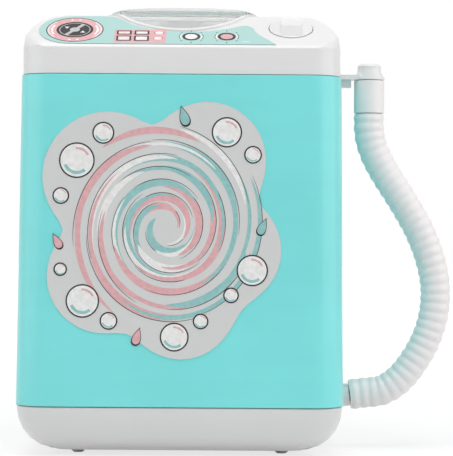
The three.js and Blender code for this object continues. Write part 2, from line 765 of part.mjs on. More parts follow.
// Contacts: two tails at the right, and a bridge over both cells at the left
const contactX = bayLength / 2 - fitGap;
const contactHeight = bayTop - bayLow - fitGap * 2;
function contactBoss(side, y) {
  const reach = contactX - contactThickness - cellLength / 2 - cellNub - fitGap;
  return placed(post(contactBossRadius, reach, contactBossRadius / 2), 0, y,
    cellZ - bayLow, 0, -side * quarterTurn).translate(side * (contactX - contactThickness), 0, bayLow);
}
function contactPlate(side, width, y) {
  return block(contactThickness, width, contactHeight)
    .translate(side * (contactX - contactThickness / 2), y, bayLow);
}
['contact_positive', 'contact_negative'].forEach((name, number) => {
  const y = (number * 2 - 1) * (cellPitch / 2);
  piece(machine, name, join(
    contactPlate(1, contactWidth, y), contactBoss(1, y),
    block(contactThickness, contactTail, bayTop + contactRise - bayLow)
      .translate(contactX - contactThickness / 2, y, bayLow)), steel);
});
piece(machine, 'contact_bridge', join(
  contactPlate(-1, contactWidth + cellPitch, 0),
  contactBoss(-1, -cellPitch / 2), contactBoss(-1, cellPitch / 2)), steel);

// Cover: its outer form drawn in by an inset all round, or let out by a negative one
const slope = THREE.MathUtils.degToRad(panelSlope);
const [coverHalfWidth, coverHalfDepth] = caseHalf(coverSeam).map((half) => half - coverInset);
const faceTurn = Math.PI / 2 - slope; // angle between the front face and the panel

// How far the cover's front is drawn back at a height.
function frontDraw(z, inset) {
  const edge = panelEdge - inset * Math.tan(faceTurn / 2);
  const top = coverTop - inset;
  const lower = Math.max(edgeRound - inset, fitGap);
  const upper = Math.max(breakRound - inset, fitGap);
  const lowTangent = lower * Math.tan(faceTurn / 2);
  const topTangent = upper * Math.tan(slope / 2);
  if (z <= edge - lowTangent) return 0;
  if (z < edge - lowTangent + lower * Math.cos(slope)) {
    return lower - Math.sqrt(lower ** 2 - (z - edge + lowTangent) ** 2);
  }
  if (z <= top - topTangent * Math.sin(slope)) return (z - edge) / Math.tan(slope);
  return (top - edge) / Math.tan(slope) + topTangent
    - Math.sqrt(Math.max(upper ** 2 - (z - top + upper) ** 2, 0));
}

// How far a side with a round top edge is drawn in at a height.
function roundDraw(z, top, radius) {
  const over = Math.min(Math.max(z - top + radius, 0), radius);
  return radius - Math.sqrt(radius ** 2 - over ** 2);
}

function coverForm(inset, low) {
  const top = coverTop - inset;
  const edge = panelEdge - inset * Math.tan(faceTurn / 2);
  const side = sideRound - inset;
  const back = backRound - inset;
  const lower = Math.max(edgeRound - inset, fitGap);
  const heights = [low, edge - lower * Math.tan(faceTurn / 2)];
  for (let step = 1; step <= coverSteps; step++) {
    heights.push(heights[1] + (lower * Math.cos(slope) * step) / coverSteps);
  }
  const start = heights.at(-1);
  const turns = coverSteps * 2 - 1;
  for (let step = 1; step <= turns; step++) {
    const share = Math.sin((Math.PI / 2) * (step / turns));
    heights.push(start + (top - start) * share);
  }
  return loft(heights.map((z) => {
    const drawn = roundDraw(z, top, side);
    const cutBack = frontDraw(z, inset);
    const corner = caseCorner - coverInset - inset - drawn * bowlCornerShare;
    return level(coverHalfWidth - inset - drawn, inset - coverHalfDepth + cutBack,
      coverHalfDepth - inset - roundDraw(z, top, back), corner, z, cutBack,
      Math.max(panelRound - inset, fitGap));
  }));
}

// Panel frame: x to the right, y up the slope from its front edge, z out of the panel
const panelFrame = new THREE.Group();
panelFrame.position.set(0, -coverHalfDepth, panelEdge);
panelFrame.rotation.x = slope;
panelFrame.updateMatrix();
machine.add(panelFrame);
const onPanel = (geometry) => geometry.applyMatrix4(panelFrame.matrix);
const atKnob = (geometry, z = 0) => geometry.translate(knobX, knobAlong, z);

const coverLow = coverSeam + fitGap / 2;
const beadInner = lidRadius + lidGap;
const beadOuter = beadInner + beadWidth;
const formHeight = coverTop - coverSeam + domeRise + overrun;
const upright = (radius, steps = fineSteps) =>
  post(radius, formHeight, radius, steps).translate(0, 0, coverSeam);
const knobLow = knobProud - knobDisc;
const wellLow = knobLow - fitGap;
const padLow = wellLow - wellFloor;
const wellRadius = knobRadius + wellGap;
const hingeZ = coverTop + knuckleRadius + fitGap;
const earGap = (knuckleWidth / 2) + fitGap;
const hangerPlaces = hangerAngles.map((angle) => {
  const turn = THREE.MathUtils.degToRad(angle);
  return [hangerReach * Math.cos(turn), hangerReach * Math.sin(turn)];
});
const hangerPostLow = hangerTop + fitGap;
const coverPostLow = upperTab + fitGap;

// Posts under the cover that end below its top skin.
function coverPosts(places, radius, low) {
  return places.map(([x, y]) => common(
    post(radius, coverTop - low).translate(x, y, low),
    coverForm(wall / 2, low)));
}
const ears = [-1, 1].map((side) => join(
  placed(post(knuckleRadius, earWidth), -earWidth / 2, 0, 0, 0, quarterTurn)
    .translate(side * (earGap + earWidth / 2), hingeBack, hingeZ),
  block(earWidth, knuckleRadius * 2, hingeZ - coverTop + wall / 2)
    .translate(side * (earGap + earWidth / 2), hingeBack, coverTop - wall / 2)));
const coverLip = cut(
  caseForm(wall + fitGap, coverSeam - lipDepth, coverSeam + lipRoot),
  caseForm(wall + fitGap + lipWall, coverSeam - lipDepth - overrun,
    coverSeam + lipRoot + overrun));
const armSlot = block(spoutCollarLength * 2, holderArmWidth + fitGap * 2,
  armTop + fitGap - coverSeam + lipDepth + overrun)
  .translate(topHalfWidth, 0, coverSeam - lipDepth - overrun);
const topCover = cut(
  join(
    cut(
      join(
        cut(join(coverForm(0, coverLow),
          common(cut(upright(beadOuter), upright(beadInner)),
            coverForm(-beadHeight, coverLow))),
        coverForm(wall, coverLow - overrun)),
        common(coverLip, coverForm(0, coverSeam - lipDepth)),
        onPanel(atKnob(post(wellRadius + wellRim, -padLow - wall / 2,
          wellRadius + wellRim, roundSteps), padLow))),
      cut(upright(beadInner), coverForm(ledgeDepth, coverLow - overrun))),
    cut(common(cut(upright(beadOuter), upright(ledgeInner)),
      coverForm(ledgeDepth, coverLow)), coverForm(ledgeDepth + ledgeWall, coverLow - overrun)),
    ...coverPosts(mirrored(coverScrewX, coverScrewY), coverPost, coverPostLow),
    ...coverPosts(hangerPlaces, hangerRadius, hangerPostLow),
    ...[-1, 1].map((side) => onPanel(
      atKnob(post(switchBossRadius, -padLow - wall / 2), padLow)
        .translate(side * switchScrewAt, 0, 0))),
    ...ears),
  upright(ledgeInner),
  block(earGap * 2, beadWidth * 4, beadHeight + overrun)
    .translate(0, hingeBack - knuckleRadius, coverTop),
  onPanel(atKnob(post(wellRadius, overrun - wellLow, wellRadius, roundSteps), wellLow)),
  onPanel(atKnob(post(switchShaftRadius + boreGap, overrun * 2 - padLow), padLow - overrun)),
  ...[-1, 1].map((side) => onPanel(
    atKnob(post(switchScrewShank + boreGap, overrun - padLow - wall / 2), padLow - overrun)
      .translate(side * switchScrewAt, 0, 0))),
  ...mirrored(coverScrewX, coverScrewY).map(([x, y]) =>
    post(coverScrewShank + boreGap, coverScrewLength + overrun)
      .translate(x, y, coverPostLow - overrun)),
  ...hangerPlaces.map(([x, y]) =>
    post(tubScrewShank + boreGap, tubScrewLength + overrun)
      .translate(x, y, hangerPostLow - overrun)),
  placed(post(hingePinRadius + boreGap, (earGap + earWidth + overrun) * 2),
    -earGap - earWidth - overrun, hingeBack, hingeZ, 0, quarterTurn),
  armSlot);
piece(machine, 'top_cover', topCover, whitePlastic);
screws(machine, 'cover_screw', mirrored(coverScrewX, coverScrewY),
  upperTab - tabThickness - fitGap,
  [coverScrewHead, coverScrewHeadHeight, coverScrewShank, coverScrewLength]);

// Lid: a plate that follows the panel and the flat top, with a hollow crown behind
const breakY = -coverHalfDepth + (coverTop - panelEdge) / Math.tan(slope);
const crownReach = (lidRadius - breakY) / 2; // half of the crown's front-to-back span

// The crown's form, drawn in by an inset, from below its edge up to its top.
function crownForm(inset, low) {
  const rise = domeRise - inset;
  const outline = (drawn, front, z) => {
    const radius = lidRadius - inset - drawn;
    const chord = Math.min(breakY + inset + front, radius);
    const turn = Math.asin(Math.max(chord / radius, -1));
    return Array.from({ length: domeSides + 1 }, (_, step) => {
      const angle = turn + ((Math.PI - turn * 2) * step) / domeSides;
      return new THREE.Vector3(radius * Math.cos(angle), radius * Math.sin(angle), z);
    });
  };
  const reach = crownReach - inset;
  const rings = [outline(0, 0, low)];
  for (let step = 1; step <= domeSteps; step++) {
    const share = domeTopShare * (step / domeSteps) ** domePackShare;
    const height = rise * share ** domeRootShare;
    const front = reach * share ** domeFrontShare;
    rings.push(outline(reach * share, front, coverTop + height));
  }
  return loft(rings);
}

const lidBottom = ledgeDepth - fitGap;
const lidLow = coverTop - ledgeDepth - overrun;
const lidForm = common(upright(lidRadius), coverForm(lidSink, coverLow));
const knuckle = placed(post(knuckleRadius, knuckleWidth), -knuckleWidth / 2, hingeBack,
  hingeZ, 0, quarterTurn);
const hingeArm = block(knuckleWidth, hingeReach + armReach, armThickness)
  .translate(0, hingeBack - (hingeReach + armReach) / 2, hingeZ - armThickness / 2);
const lid = cut(
  join(
    cut(lidForm, coverForm(lidBottom, coverLow - overrun)),
    cut(common(crownForm(0, lidLow), upright(lidRadius)),
      crownForm(lidPlate, lidLow - overrun)),
    knuckle, hingeArm),
  cut(crownForm(lidPlate, lidLow - overrun),
    upright(ledgeInner).translate(0, 0, formHeight)),
  placed(post(hingePinRadius + boreGap, knuckleWidth + overrun * 2),
    -knuckleWidth / 2 - overrun, hingeBack, hingeZ, 0, quarterTurn));
piece(machine, 'lid', cut(lid, common(
  cut(coverForm(lidBottom, coverLow), upright(lidRadius - lidPlate * 2)),
  upright(lidRadius + overrun))), clearPlastic);
piece(machine, 'lid_hinge_pin', placed(post(hingePinRadius, (earGap + earWidth) * 2),
  -earGap - earWidth, hingeBack, hingeZ, 0, quarterTurn), steel);

// Knob: a disc with a low grip whose ends slope down and whose top is hollowed
const grip = new THREE.Shape();
grip.moveTo(-gripBottom / 2, -gripSink);
grip.lineTo(gripBottom / 2, -gripSink);
grip.lineTo(gripTop / 2, gripRise);
grip.quadraticCurveTo(0, gripRise - gripHollow * 2, -gripTop / 2, gripRise);
grip.closePath();
const knob = cut(
  join(
    post(knobRadius, knobDisc, knobRadius, roundSteps).translate(0, 0, knobLow),
    common(
      placed(plate(grip, gripWidth), gripWidth / 2, 0, 0, quarterTurn, 0, quarterTurn)
        .translate(-gripWidth, 0, knobProud),
      post(knobRadius, knobDisc + gripRise + overrun, knobRadius, roundSteps)
        .translate(0, 0, knobLow))),
  post(switchShaftRadius + boreGap, knobDisc + switchShaftGrip - knobLow)
    .translate(0, 0, knobLow - knobDisc));
piece(panelFrame, 'selector_knob', atKnob(geometryOf(knob)), whitePlastic);

// Switch: its body hangs under the cover's pad, and its shaft carries the knob
const switchTop = padLow - fitGap;
const rotorLow = switchTop - switchHeight / 2 - rotorHeight / 2;
const switchBody = cut(
  join(
    block(switchSize, switchSize, switchHeight).translate(0, 0, switchTop - switchHeight),
    block(switchEarReach * 2, switchEarWidth, switchEarHeight)
      .translate(0, 0, switchTop - switchEarHeight),
    ...[-1, 1].map((side) => block(switchTabWidth, switchTabThickness, switchTabHeight)
      .translate(side * switchTabAt, 0, switchTop - switchHeight - switchTabHeight))),
  post(rotorRadius + fitGap, rotorHeight + fitGap * 2).translate(0, 0, rotorLow - fitGap),
  post(switchShaftRadius + boreGap, switchHeight).translate(0, 0, rotorLow),
  ...[-1, 1].map((side) =>
    post(switchScrewShank + boreGap, switchEarHeight + overrun * 2)
      .translate(side * switchScrewAt, 0, switchTop - switchEarHeight - overrun)));
piece(panelFrame, 'switch_body', atKnob(geometryOf(switchBody)), darkPlastic);
piece(panelFrame, 'switch_shaft', atKnob(turned([
  [0, rotorLow], [rotorRadius, rotorLow], [rotorRadius, rotorLow + rotorHeight],
  [switchShaftRadius, rotorLow + rotorHeight],
  [switchShaftRadius, knobProud + switchShaftGrip - fitGap * 2],
  [0, knobProud + switchShaftGrip - fitGap * 2],
], smallSteps)), greyPlastic);
screws(panelFrame, 'switch_screw',
  [-1, 1].map((side) => [knobX + side * switchScrewAt, knobAlong]),
  switchTop - switchEarHeight - fitGap,
  [switchScrewHead, switchScrewHeadHeight, switchScrewShank, switchScrewLength]);

// Panel label: a round left end, a back edge that follows the lid's bead, and a waved
// right end
const labelPlaces = panelLabelShares.map(([across, back]) => {
  const x = panelLabelRight * across;
  const bead = coverHalfDepth - Math.sqrt(Math.max(beadOuter ** 2 - x ** 2, 0));
  const way = bead / Math.cos(slope) - panelLabelFront;
  return new THREE.Vector2(x, panelLabelFront + way * back);
});
const panelLabel = new THREE.Shape();
panelLabel.moveTo(roundX, panelLabelFront);
panelLabel.lineTo(panelLabelRight, panelLabelFront);
panelLabel.splineThru(labelPlaces.slice(1));
panelLabel.absarc(roundX, panelLabelFront + dialEnd, dialEnd, Math.PI / 2, Math.PI * 1.5);
piece(panelFrame, 'panel_label',
  plate(panelLabel, labelThickness, cornerSteps).translate(0, 0, labelGap), aquaLabel);

// Front label: lobes that blend into each other, cut as one outline
function lobeRadius(angle) {
  const reach = lobeShares.map(([x, z, radius]) => {
    const along = x * Math.cos(angle) + z * Math.sin(angle);
    const aside = z * Math.cos(angle) - x * Math.sin(angle);
    const inside = radius ** 2 - aside ** 2;
    return inside > 0 ? Math.max(along + Math.sqrt(inside), 0) : 0;
  });
  return reach.reduce((sum, value) => sum + value ** lobeBlend, 0) ** (1 / lobeBlend);
}
const lobePoints = Array.from({ length: frontLabelPoints }, (_, step) => {
  const angle = (Math.PI * 2 * step) / frontLabelPoints;
  return new THREE.Vector2(Math.cos(angle), Math.sin(angle))
    .multiplyScalar(lobeRadius(angle));
});
const lobeBox = new THREE.Box2().setFromPoints(lobePoints);
const lobeSize = lobeBox.getSize(new THREE.Vector2());
const lobeMiddle = lobeBox.getCenter(new THREE.Vector2());
const frontLabel = new THREE.Shape(lobePoints.map((point) => new THREE.Vector2(
  ((point.x - lobeMiddle.x) / lobeSize.x) * frontLabelWidth,
  ((point.y - lobeMiddle.y) / lobeSize.y) * frontLabelHeight)));
const faceFrame = new THREE.Group();
faceFrame.position.set(0, -caseHalf(frontLabelZ)[1], frontLabelZ);
faceFrame.rotation.x = Math.PI / 2
  - Math.atan2((caseBottomDepth - caseTopDepth) / 2, coverSeam - baseSeam);
machine.add(faceFrame);
piece(faceFrame, 'front_label',
  plate(frontLabel, labelThickness).translate(frontLabelX, 0, labelGap), paleLabel);

// Tub: hangs from the cover by three ears and carries the gear plate underneath
const tubForm = (radiusLow, radiusHigh, low) => turned([
  [0, low], [radiusLow, low], [radiusHigh, coverTop + overrun], [0, coverTop + overrun],
], roundSteps);
const tubFloorTop = tubBottom + tubFloor;
const gearTop = tubBottom - tubBossDrop - gearDrop;
const gearLow = gearTop - gearWidth;
const plateTop = gearLow - plateGap;
const plateLow = plateTop - plateThickness;
const tubReach = tubTopRadius * hangerStart;
const hangerEars = hangerAngles.map((angle) => join(
  block(hangerReach - tubReach, hangerRadius * 2, hangerEar)
    .translate((hangerReach + tubReach) / 2, 0, hangerTop - hangerEar),
  post(hangerRadius, hangerEar).translate(hangerReach, 0, hangerTop - hangerEar))
  .rotate([0, 0, angle]));
const washTub = cut(
  join(
    common(tubForm(tubBottomRadius + tubWall, tubTopRadius + tubWall, tubBottom),
      coverForm(ledgeDepth + ledgeWall + fitGap, tubBottom - overrun)),
    ...hangerEars,
    post(tubBossRadius, tubBossDrop + overrun).translate(0, 0, tubBottom - tubBossDrop),
    post(nozzleRadius, nozzleLength + overrun)
      .translate(nozzleX, 0, tubBottom - nozzleLength),
    ...plateScrews.map(([x, y]) =>
      post(platePostRadius, tubBottom - plateTop - fitGap + overrun)
        .translate(x, y, plateTop + fitGap))),
  tubForm(tubBottomRadius, tubTopRadius, tubFloorTop),
  post(bushRadius + boreGap, tubBossDrop + tubFloor + overrun * 2)
    .translate(0, 0, tubBottom - tubBossDrop - overrun),
  post(nozzleBore, nozzleLength + tubFloor + overrun * 2)
    .translate(nozzleX, 0, tubBottom - nozzleLength - overrun),
  ...plateScrews.map(([x, y]) => post(plateScrewShank + boreGap, plateScrewLength)
    .translate(x, y, plateTop)),
  ...hangerPlaces.map(([x, y]) =>
    post(tubScrewShank + boreGap, hangerEar + overrun * 2)
      .translate(x, y, hangerTop - hangerEar - overrun)));
piece(machine, 'wash_tub', washTub, tubPlastic);
screws(machine, 'tub_screw', hangerPlaces, hangerTop - hangerEar - fitGap,
  [tubScrewHead, tubScrewHeadHeight, tubScrewShank, tubScrewLength]);

// Pulsator: a disc with vanes on a hub, over the seal and the bush
const pulsatorLow = tubFloorTop + pulsatorLift;
const vanes = Array.from({ length: vaneCount }, (_, number) =>
  placed(block(pulsatorRadius - vaneTip - vaneFrom, vaneWidth, vaneHeight)
    .translate((pulsatorRadius - vaneTip + vaneFrom) / 2, 0, 0),
  0, 0, pulsatorLow, 0, 0, quarterTurn + (fullTurn * number) / vaneCount));
const pulsator = cut(
  join(
    post(pulsatorRadius, pulsatorDisc, pulsatorRadius, roundSteps)
      .translate(0, 0, pulsatorLow),
    post(pulsatorHub, pulsatorHubHeight, pulsatorHub / 2).translate(0, 0, pulsatorLow),
    ...vanes),
  post(shaftRadius + boreGap, shaftGrip + overrun + fitGap)
    .translate(0, 0, pulsatorLow - overrun));
piece(machine, 'pulsator', pulsator, whitePlastic);
const shaftLow = plateLow;
piece(machine, 'pulsator_shaft',
  post(shaftRadius, pulsatorLow + shaftGrip - shaftLow).translate(0, 0, shaftLow), steel);
const bushLow = tubBottom - tubBossDrop;
piece(machine, 'shaft_bush', cut(
  post(bushRadius, tubFloorTop - bushLow).translate(0, 0, bushLow),
  post(shaftRadius + boreGap, tubFloorTop).translate(0, 0, bushLow - overrun)), brass);
piece(machine, 'shaft_seal', cut(
  post(sealRadius, sealHeight).translate(0, 0, tubFloorTop + fitGap),
  post(shaftRadius + boreGap, tubFloorTop + sealHeight)
    .translate(0, 0, tubFloorTop - overrun)), rubber);

// Gears with involute flanks
function gearBlank(teeth, width) {
  const pitch = (toothModule * teeth) / 2;
  const root = pitch - toothModule * (1 + rootExtra);
  const tip = pitch + toothModule;
  const angle = THREE.MathUtils.degToRad(pressureAngle);
  const base = pitch * Math.cos(angle);
  const involute = (value) => Math.tan(value) - value;
  const half = (radius) => Math.PI / (teeth * 2) - toothThinning / (pitch * 2)
    + involute(angle) - involute(Math.acos(Math.min(base / Math.max(radius, base), 1)));
  const flank = [root, pitch, tip];
  const shape = new THREE.Shape();
  for (let tooth = 0; tooth < teeth; tooth++) {
    const middle = (Math.PI * 2 * tooth) / teeth;
    const side = (radius, way) => shape.lineTo(
      radius * Math.cos(middle + way * half(radius)),
      radius * Math.sin(middle + way * half(radius)));
    if (tooth === 0) {
      shape.moveTo(root * Math.cos(half(root)), -root * Math.sin(half(root)));
    }
    flank.forEach((radius) => side(radius, -1));
    [...flank].reverse().forEach((radius) => side(radius, 1));
  }
  return plate(shape, width);
}
piece(machine, 'driven_gear', cut(
  join(gearBlank(gearTeeth, gearWidth).translate(0, 0, gearLow),
    post(gearHubRadius, gearWidth + gearHubHeight).translate(0, 0, gearLow)),
  post(shaftRadius + boreGap, gearWidth + overrun * 2).translate(0, 0, gearLow - overrun)),
gearPlastic);
const pinion = piece(machine, 'motor_pinion', cut(
  gearBlank(pinionTeeth, pinionWidth),
  post(motorShaftRadius + boreGap, pinionWidth + overrun * 2).translate(0, 0, -overrun)),
gearPlastic);
pinion.position.set(-gearCentres, 0, gearLow);
pinion.rotation.z = Math.PI / pinionTeeth;

// Gear plate and motor
const gearPlate = cut(
  plate(roundedRectangle(plateRight - plateLeft, plateFront * 2, plateCorner),
    plateThickness).translate((plateRight + plateLeft) / 2, 0, plateLow),
  post(shaftRadius + boreGap, plateThickness + overrun * 2)
    .translate(0, 0, plateLow - overrun),
  post(motorBossRadius + fitGap, plateThickness + overrun * 2)
    .translate(-gearCentres, 0, plateLow - overrun),
  ...[-1, 1].map((side) => post(motorScrewShank + boreGap, plateThickness + overrun * 2)
    .translate(-gearCentres, side * motorScrewAt, plateLow - overrun)),
  ...plateScrews.map(([x, y]) =>
    post(plateScrewShank + boreGap, plateThickness + overrun * 2)
      .translate(x, y, plateLow - overrun)));
piece(machine, 'gear_plate', gearPlate, greyPlastic);
screws(machine, 'plate_screw', plateScrews, plateLow - fitGap,
  [plateScrewHead, plateScrewHeadHeight, plateScrewShank, plateScrewLength]);

const motorTop = plateLow - fitGap;
const motorLow = motorTop - motorLength;
const motorOutline = roundedRectangle(motorFlat, motorWidth, motorCorner);
const atMotor = (shape, z) => shape.translate(-gearCentres, 0, z);
piece(machine, 'motor_can', cut(
  join(
    atMotor(plate(motorOutline, motorLength), motorLow),
    atMotor(post(motorBossRadius, motorBossHeight + overrun), motorTop - overrun)),
  atMotor(post(motorShaftRadius + boreGap, motorBoreDepth + motorBossHeight + overrun),
    motorTop - motorBoreDepth),
  ...[-1, 1].map((side) => post(motorScrewShank + boreGap, motorScrewLength)
    .translate(-gearCentres, side * motorScrewAt, motorTop + plateThickness
      - motorScrewLength))), steel);
piece(machine, 'motor_end_cap', join(
  atMotor(plate(motorOutline, motorCapLength), motorLow - fitGap - motorCapLength),
  ...[-1, 1].map((side) => block(motorTabWidth, motorTabThickness, motorTabHeight + overrun)
    .translate(-gearCentres, side * motorTabAt,
      motorLow - fitGap - motorCapLength - motorTabHeight))), darkPlastic);
const motorShaftLow = motorTop - motorBoreDepth + fitGap;
piece(machine, 'motor_shaft', atMotor(
  post(motorShaftRadius, gearLow + pinionWidth - motorShaftLow), motorShaftLow), steel);
[-1, 1].forEach((side, number) => {
  const mesh = piece(machine, `motor_screw_${number + 1}`,
    screw(motorScrewHead, motorScrewHeadHeight, motorScrewShank, motorScrewLength), steel);
  mesh.rotation.x = Math.PI;
  mesh.position.set(-gearCentres, side * motorScrewAt, plateTop + labelGap);
});

// Drain: spout, inner tube and hose
const tailEnd = -spoutCollarLength - spoutFlangeWidth - spoutTail;
piece(spoutFrame, 'drain_spout', placed(turned([
  [spoutBore, tailEnd], [nozzleRadius, tailEnd],
  [nozzleRadius, -spoutCollarLength - spoutFlangeWidth],
  [spoutFlange, -spoutCollarLength - spoutFlangeWidth], [spoutFlange, -spoutCollarLength],
  [spoutCollar, -spoutCollarLength], [spoutCollar, 0], [spoutNipple, 0],
  [spoutNipple, spoutNippleLength], [spoutBore, spoutNippleLength], [spoutBore, tailEnd],
], middleSteps), 0, 0, 0, 0, quarterTurn), whitePlastic);
machine.add(spoutFrame);

const spoutPoint = (distance) =>
  new THREE.Vector3(distance, 0, 0).applyMatrix4(spoutFrame.matrix);
const nozzleEnd = tubBottom - nozzleLength;
const tubeEnd = spoutPoint(tailEnd + spoutTail - fitGap);
const tubeRoute = new THREE.CurvePath();
const tubeTop = new THREE.Vector3(nozzleX, 0, tubBottom - fitGap);
const tubeStart = new THREE.Vector3(nozzleX, 0, nozzleEnd);
tubeRoute.add(new THREE.LineCurve3(tubeTop, tubeStart));
tubeRoute.add(new THREE.CubicBezierCurve3(
  tubeStart, new THREE.Vector3(nozzleX, 0, nozzleEnd - drainTubeDrop),
  spoutPoint(tailEnd - drainTubeLead), spoutPoint(tailEnd)));
tubeRoute.add(new THREE.LineCurve3(spoutPoint(tailEnd), tubeEnd));
const tubeSection = new THREE.Shape().absarc(0, 0, drainTubeRadius, 0, Math.PI * 2);
tubeSection.holes.push(new THREE.Path().absarc(0, 0, drainTubeBore, 0, Math.PI * 2, true));
piece(machine, 'drain_tube', new THREE.ExtrudeGeometry(tubeSection, {
  extrudePath: tubeRoute, steps: drainTubeSteps, curveSegments: drainTubeSides,
}), silicone);

// A ring of points square to the hose's route at a share of its length.
const hoseStretch = (cuffBottom + cuffReach - spoutFaceZ) / hoseEndRise;
const hosePath = new THREE.CatmullRomCurve3(hoseRoute.map(([out, rise]) =>
  new THREE.Vector3(spoutFaceX + out, 0, spoutFaceZ + rise * hoseStretch)));
hosePath.arcLengthDivisions = hoseRoute.length * hoseSides * ribsPerBoreRing;
const hoseLength = hosePath.getLength();
function hoseRing(share, diameter) {
  const middle = hosePath.getPointAt(share);
  const tangent = hosePath.getTangentAt(share);
  const side = new THREE.Vector3(0, 1, 0);
  const rise = new THREE.Vector3().crossVectors(tangent, side);
  return Array.from({ length: hoseSides }, (_, step) => {
    const angle = (Math.PI * 2 * (step + 0.5)) / hoseSides;
    return middle.clone()
      .addScaledVector(side, (diameter / 2) * Math.cos(angle))
      .addScaledVector(rise, (diameter / 2) * Math.sin(angle));
  });
}

// Skin of the hose: ribs outside, a plain neck at the cuff, and the bore back again.
function ribbedHose() {
  const ribShare = 1 - hoseNeckLength / hoseLength;
  const rings = [];
  for (let rib = 0; rib < hoseRibs; rib++) {
    rings.push(hoseRing((ribShare * rib) / hoseRibs, hoseGroove));
    rings.push(hoseRing((ribShare * (rib + ribCrestShare)) / hoseRibs, hoseDiameter));
  }
  rings.push(hoseRing(ribShare, hoseGroove), hoseRing(ribShare, hoseNeck));
  rings.push(hoseRing(1, hoseNeck), hoseRing(1, hoseBore));
  for (let rib = hoseRibs; rib > 0; rib -= ribsPerBoreRing) {
    rings.push(hoseRing((ribShare * rib) / hoseRibs, hoseBore));
  }
  rings.push(hoseRing(hoseDiameter / hoseLength, hoseBore), hoseRing(0, hoseBore));
  const positions = rings.flat().flatMap((point) => [point.x, point.y, point.z]);
  const index = [];
  rings.forEach((_, row) => {
    for (let step = 0; step < hoseSides; step++) {
      const next = (step + 1) % hoseSides;
      const a = row * hoseSides + step;
      const b = row * hoseSides + next;
      const c = ((row + 1) % rings.length) * hoseSides;
      index.push(a, b, c + next, a, c + next, c + step);
    }
  });
  const geometry = new THREE.BufferGeometry();
  geometry.setAttribute('position', new THREE.Float32BufferAttribute(positions, 3));
  geometry.setIndex(index);
  return geometry;
}
piece(machine, 'drain_hose', ribbedHose(), hosePlastic);

// Cuff and holder
piece(machine, 'hose_cuff', cut(
  post(hoseDiameter / 2, cuffHeight, hoseDiameter / 2, smallSteps * 2)
    .translate(cuffX, 0, cuffBottom),
  post(cuffBore / 2, cuffHeight + overrun * 2, cuffBore / 2, smallSteps * 2)
    .translate(cuffX, 0, cuffBottom - overrun)), hosePlastic);
const stopX = topHalfWidth - wall - lipWall - fitGap * 2;
const outerX = caseHalf(coverSeam - gussetDrop)[0] + fitGap;
const holder = join(
  block(cuffX - stopX, holderArmWidth, holderArmThickness)
    .translate((cuffX + stopX) / 2, 0, armBottom),
  block(holderStopThickness, holderStopWidth, holderArmThickness + holderStopRise)
    .translate(stopX - holderStopThickness / 2, 0, armBottom),
  block(gussetReach, gussetWidth, gussetDrop + fitGap)
    .translate(outerX + gussetReach / 2, 0, armBottom - gussetDrop),
  turned([
    [0, armBottom - pegLength], [pegRadius, armBottom - pegLength], [pegRadius, armBottom],
    [flangeRadius, armBottom], [flangeRadius, armBottom + holderArmThickness / 2],
    [stubRadius, armTop + flangeRise], [stubRadius, armTop + flangeRise + stubHeight
      - stubRound],
    [stubRadius - stubRound, armTop + flangeRise + stubHeight],
    [0, armTop + flangeRise + stubHeight],
  ], middleSteps).translate(cuffX, 0, 0));
piece(machine, 'hose_holder', holder, whitePlastic);

// Wires
const at = (x, y, z) => new THREE.Vector3(x, y, z);
const switchTabEnd = switchTop - switchHeight - switchTabHeight;
const switchTab = (side, drop = 0) =>
  at(knobX + side * switchTabAt, knobAlong, switchTabEnd - fitGap - drop)
    .applyMatrix4(panelFrame.matrix);
const cellTail = (side, rise = 0) => at(contactX - contactThickness / 2,
  side * (cellPitch / 2), bayTop + contactRise + fitGap + rise);
const motorTab = (side, drop = 0) => at(-gearCentres, side * motorTabAt,
  motorLow - motorCapLength - motorTabHeight - fitGap * 2 - drop);
const wireLane = topHalfWidth - wall * 4 - coverPost;
const wire = (name, points, material) =>
  piece(machine, name, rod(points, wireRadius, wireSteps, wireSides), material);
wire('wire_battery_to_switch', [
  cellTail(-1), cellTail(-1, wireLead),
  at(wireLane, -tabY / 2, nozzleEnd), at(wireLane, -tabY / 2, hangerTop - wireLead * 4),
  switchTab(1, wireLead), switchTab(1),
], redWire);
wire('wire_switch_to_motor', [
  switchTab(-1), switchTab(-1, wireLead),
  at(knobX, -tabY, hangerTop - wireLead * 4), at(knobX, -tabY, nozzleEnd),
  at(0, -tabY / 2, motorLow - motorCapLength - wireLead * 2),
  motorTab(-1, wireLead), motorTab(-1),
], blueWire);
wire('wire_motor_to_battery', [
  motorTab(1), motorTab(1, wireLead), at(0, cellPitch / 2, bayTop + wireLead * 2),
  cellTail(1, wireLead), cellTail(1),
], blackWire);

// The origin lies under the middle of everything that is rigid
machine.position.x = (caseBottomWidth / 2 - cuffX - flangeRadius) / 2;
const part = new THREE.Group();
part.add(machine);
console.log(`hose route ${hoseLength.toFixed(1)} mm`);

export default part;
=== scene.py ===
import logging
import math
from dataclasses import dataclass, field
from enum import Enum
from typing import Callable, Iterable, Sequence

import bpy
import numpy as np
from mathutils import Matrix, Vector


